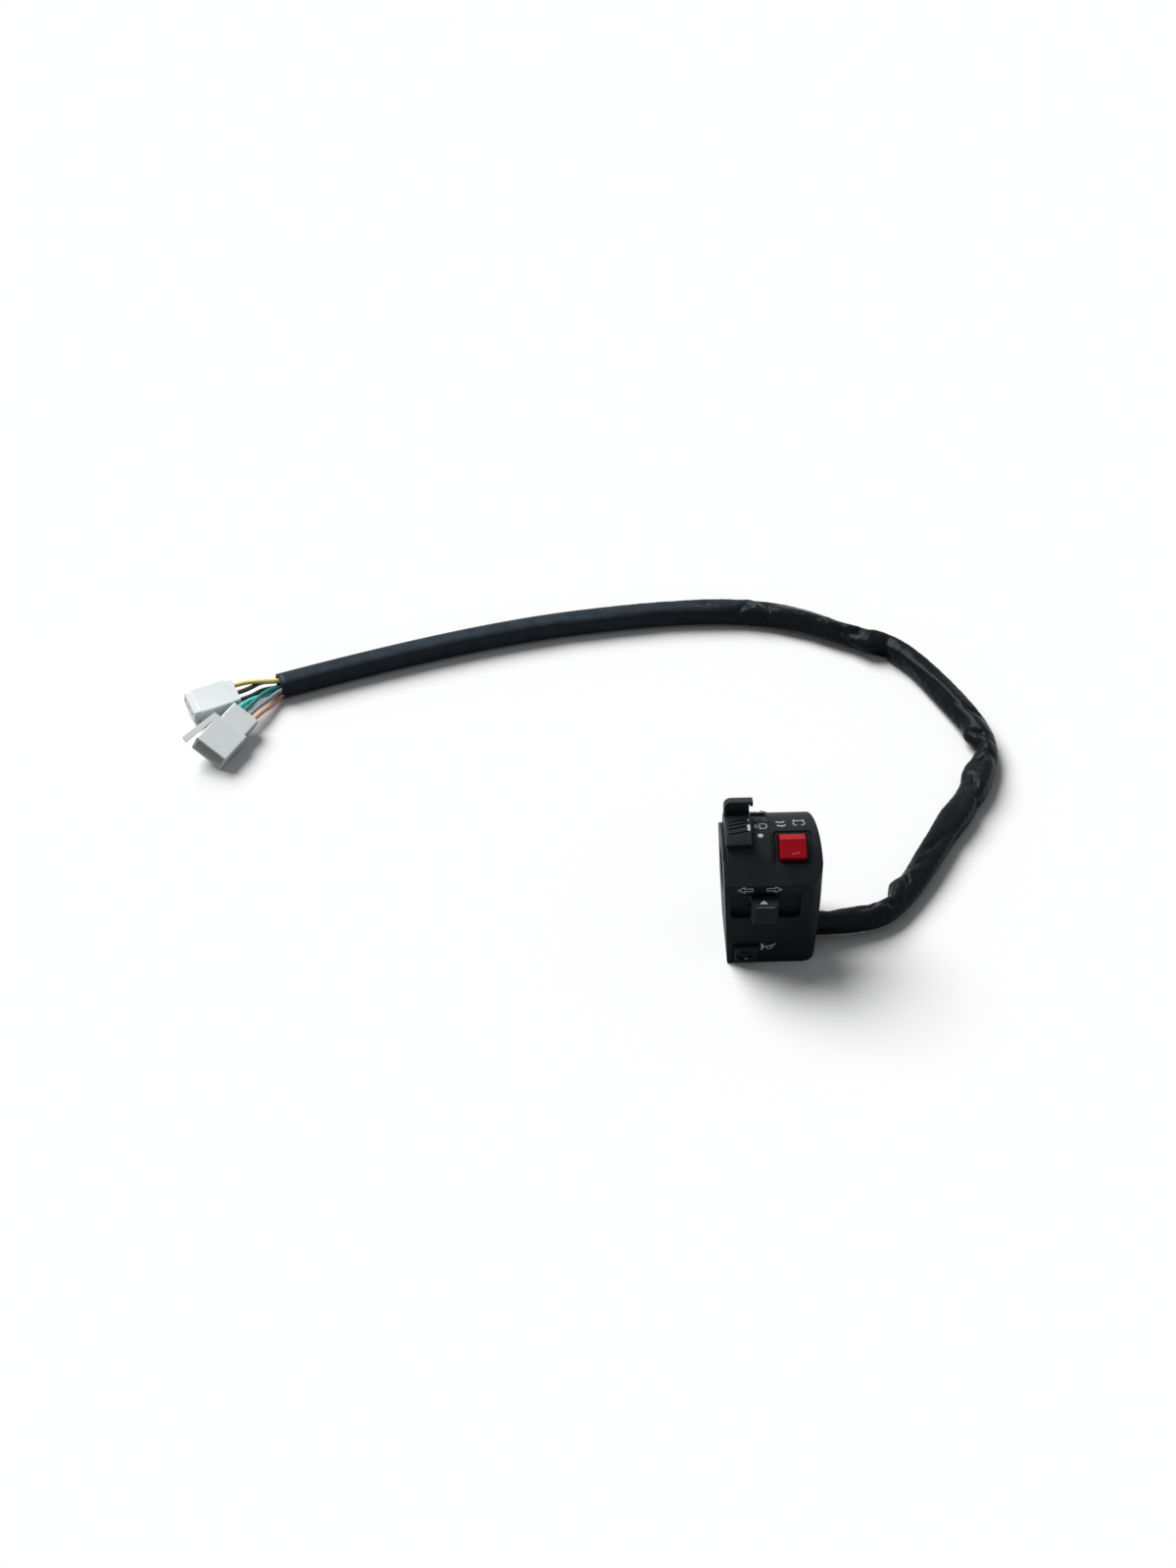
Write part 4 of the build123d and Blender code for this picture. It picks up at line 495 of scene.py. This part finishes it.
# Position light, headlight and off marks beside the light lever
mark("mark_position_light",
     stroke(arc((-5.9, 5.6), 1.5, 90, 270), 0.34) + stroke([(-5.9, 7.1), (-5.9, 4.1)], 0.34)
     + stroke(arc((-3.7, 5.6), 1.5, -90, 90), 0.34) + stroke([(-3.7, 4.1), (-3.7, 7.1)], 0.34)
     + stroke([(-8.3, 6.3), (-7.7, 6.2)], 0.3) + stroke([(-8.3, 4.9), (-7.7, 5.0)], 0.3)
     + stroke([(-1.9, 6.2), (-1.3, 6.3)], 0.3) + stroke([(-1.9, 5.0), (-1.3, 4.9)], 0.3),
     left_crown, "ink_faint")
mark("mark_headlight",
     stroke([(-5.4, 1.9), (-4.1, 1.9), *arc((-3.7, 0.2), 1.7, 75, -75), (-4.1, -1.5), (-5.4, -1.5)], 0.62,
            closed=True)
     + [outline for level in (1.3, 0.6, -0.1, -0.8)
        for outline in stroke([(-8.2, level), (-6.2, level)], 0.3)],
     left_crown, "ink_white")
mark("mark_off", [arc((-5.5, -5.9), 1.4, 0, 345, steps=23, flatten=0.8)], left_crown, "ink_bright")

# Marks above the red rocker
for name, shift, level in (("mark_stop_upper", 0, 3.9), ("mark_stop_lower", 0.4, 1.1)):
    mark(name,
         stroke([(2.7 + shift, level), (3.6 + shift, level - 0.5), (4.8 + shift, level - 0.65),
                 (6.0 + shift, level - 0.5), (6.9 + shift, level + 0.1)], 0.9),
         right_crown, "ink_white")
mark("mark_run",
     [[(10.6, 4.5), (11.8, 5.5), (12.2, 4.7), (15.6, 4.7), (15.9, 5.5), (16.9, 4.4), (15.9, 3.5),
       (15.6, 4.0), (12.2, 4.0), (11.8, 3.6)]]
     + stroke(arc((12.4, 2.2), 1.3, 130, 290), 0.55) + stroke(arc((15.4, 2.2), 1.3, 50, -110), 0.55),
     right_crown, "ink_white")

# Turn arrows and the horn mark on the front
arrow_level = 10.1
arrow = ((0, 0), (3.0, 1.75), (3.0, 0.85), (7.0, 0.85), (7.0, -0.85), (3.0, -0.85), (3.0, -1.75))
for name, point, turned in (("mark_turn_left", -17.3, 1), ("mark_turn_right", 3.9, -1)):
    mark(name,
         stroke([(point + turned * across, arrow_level + up) for across, up in arrow], 0.46, closed=True),
         front_face, "front_ink_with_painted_light")
mark("mark_horn",
     [[(-4.7, -27.4), (-4.1, -27.3), (-3.5, -28.6), (-2.9, -29.2), (-2.9, -30.2), (-3.6, -30.6),
       (-4.1, -32.0), (-4.7, -31.9)]]
     + stroke([(-3.0, -29.6), (0.3, -29.0), (2.4, -27.7)], 0.55)
     + stroke([(-1.9, -29.4), (-1.7, -30.9), (-0.2, -31.1), (0.9, -30.2), (0.8, -29.0)], 0.5),
     horn_panel, "front_ink_with_painted_light")
mark("mark_horn_tip", [[(1.6, -28.5), (2.5, -27.2), (2.8, -27.5), (2.2, -28.8)]], horn_panel, "front_ink_with_painted_light")

# Flash mark of the turn knob
knob_top = 5.4
mark("mark_flash",
     [[(-7.0, -32.2), (-2.9, -32.2), (-3.1, -31.9), (-4.7, -29.7), (-5.1, -29.7), (-6.8, -31.9)]],
     lambda across, depth: Vector((across, depth, knob_top + mark_height)) * MM, "ink_bright", body="knob")

# Position mark on the light lever, and above it a painted highlight where the end of a rib catches the light
mark("mark_lever", [[(-11.9, -2.5), (-10.6, -2.3), (-10.5, -3.7), (-10.5, -6.0), (-11.7, -6.2), (-12.0, -5.5),
                     (-11.5, -4.9), (-12.1, -4.2)]], lever_face, "ink_bright", body="lever")
mark("lever_rib_painted_highlight", [[(-11.5, 1.4), (-10.8, 1.5), (-10.8, 0.4), (-11.5, 0.3)]], lever_face, "ink_white",
     body="lever")

# Painted highlight along the top front edge of the turn knob
mark("knob_edge_painted_highlight", [[(-8.8, 4.7), (0.2, 4.7), (0.2, 5.05), (-8.8, 5.05)]], knob_front, "front_ink_with_painted_light",
     body="knob")
# Painted highlight in the dimple of the horn button
mark("mark_horn_glint", [[(-13.0, -35.2), (-11.2, -35.2), (-11.4, -34.7), (-12.8, -34.7)]], horn_front,
     "front_ink_with_painted_light", body="horn")

# Painted highlight where a small nub near the front edge of the red cap catches the light; the cap's main
# face rises from its middle towards the ridge
cap_tilt = math.radians(25.6)
cap_base_height = 24.4
cap_face_height = 4.72
cap_face_slope = 0.117
cap_normal = Vector((0, -math.sin(cap_tilt), math.cos(cap_tilt)))
cap_back = Vector((0, math.cos(cap_tilt), math.sin(cap_tilt)))
cap_middle = Vector((10, 0, 0)) + cap_normal * cap_base_height


def cap_face(across, up):
    """Place on the red cap's main face, across along the bar and up towards the ridge, in mm."""
    height = cap_face_height + up * cap_face_slope
    return (cap_middle + Vector((across, 0, 0)) + cap_back * up + cap_normal * height) * MM


# Painted highlight on the red cap
mark("rocker_painted_highlight",
     stroke([(-0.9, -4.1), (-0.3, -4.7), (0.5, -4.7), (1.3, -4.2), (2.0, -4.4), (3.0, -3.8)], 0.32),
     cap_face, "red_highlight", body="rocker")

# Fine upright ribs between the turn arrows
rib_count = 10
rib_first, rib_pitch = -9.5, 0.62
rib_foot, rib_top = (0.16, -26.9), (0.10, -27.28)
rib_levels = (8.1, 11.7)
ribs = bmesh.new()
for index in range(rib_count):
    middle = rib_first + index * rib_pitch
    corners = [(middle - rib_foot[0], rib_foot[1]), (middle - rib_top[0], rib_top[1]),
               (middle + rib_top[0], rib_top[1]), (middle + rib_foot[0], rib_foot[1])]
    low_ring, high_ring = [[ribs.verts.new((x * MM, y * MM, level * MM)) for x, y in corners]
                           for level in rib_levels]
    ribs.faces.new(low_ring)
    ribs.faces.new(high_ring[::-1])
    for step in range(len(corners)):
        after = (step + 1) % len(corners)
        ribs.faces.new((low_ring[after], low_ring[step], high_ring[step], high_ring[after]))
bmesh.ops.recalc_face_normals(ribs, faces=ribs.faces[:])
rib_mesh = bpy.data.meshes.new("front_ribs")
ribs.to_mesh(rib_mesh)
ribs.free()
piece("front_ribs", rib_mesh, "housing_black", smooth=False)

# Floor, light and background
floor_size = 14
floor_gap = 0.0003
bounce_grey = 0.22
sky_level = 0.16
bpy.ops.mesh.primitive_plane_add(size=floor_size, location=(0, 0, FLOOR - floor_gap))
floor = bpy.context.object
floor.name = "floor"


def seen(tree):
    """1 for what the camera, a gloss or a clear body sees directly, 0 for light that bounces."""
    path = tree.nodes.new("ShaderNodeLightPath")
    first = tree.nodes.new("ShaderNodeMath")
    first.operation = "MAXIMUM"
    tree.links.new(path.outputs["Is Camera Ray"], first.inputs[0])
    tree.links.new(path.outputs["Is Glossy Ray"], first.inputs[1])
    second = tree.nodes.new("ShaderNodeMath")
    second.operation = "MAXIMUM"
    tree.links.new(first.outputs[0], second.inputs[0])
    tree.links.new(path.outputs["Is Transmission Ray"], second.inputs[1])
    return second.outputs[0]


floor_material = bpy.data.materials.new("floor_pale")
floor_material.use_nodes = True
floor_tree = floor_material.node_tree
floor_base = floor_tree.nodes["Principled BSDF"]
floor_base.inputs["Roughness"].default_value = 0.9
floor_base.inputs["Specular IOR Level"].default_value = 0
floor_colour = floor_tree.nodes.new("ShaderNodeMix")
floor_colour.data_type = "RGBA"
floor_colour.inputs["A"].default_value = (bounce_grey, bounce_grey, bounce_grey, 1)
floor_colour.inputs["B"].default_value = (1, 1, 1, 1)
floor_tree.links.new(seen(floor_tree), floor_colour.inputs["Factor"])
floor_tree.links.new(floor_colour.outputs["Result"], floor_base.inputs["Base Color"])
floor.data.materials.append(floor_material)

world = bpy.data.worlds.new("studio")
scene.world = world
world.use_nodes = True
world_tree = world.node_tree
backdrop = world_tree.nodes["Background"]
backdrop.inputs["Color"].default_value = (0.97, 0.985, 1.0, 1)
strength = world_tree.nodes.new("ShaderNodeMapRange")
strength.inputs["To Min"].default_value = sky_level
strength.inputs["To Max"].default_value = 1.0
world_tree.links.new(seen(world_tree), strength.inputs["Value"])
world_tree.links.new(strength.outputs["Result"], backdrop.inputs["Strength"])

sun_data = bpy.data.lights.new("key", "SUN")
sun_data.energy = 3.50
sun_data.angle = math.radians(41)
sun = bpy.data.objects.new("key", sun_data)
sun.rotation_euler = Vector((-0.46, 0.47, 0.755)).to_track_quat("Z", "Y").to_euler()
scene.collection.objects.link(sun)

scene.view_settings.view_transform = "Standard"
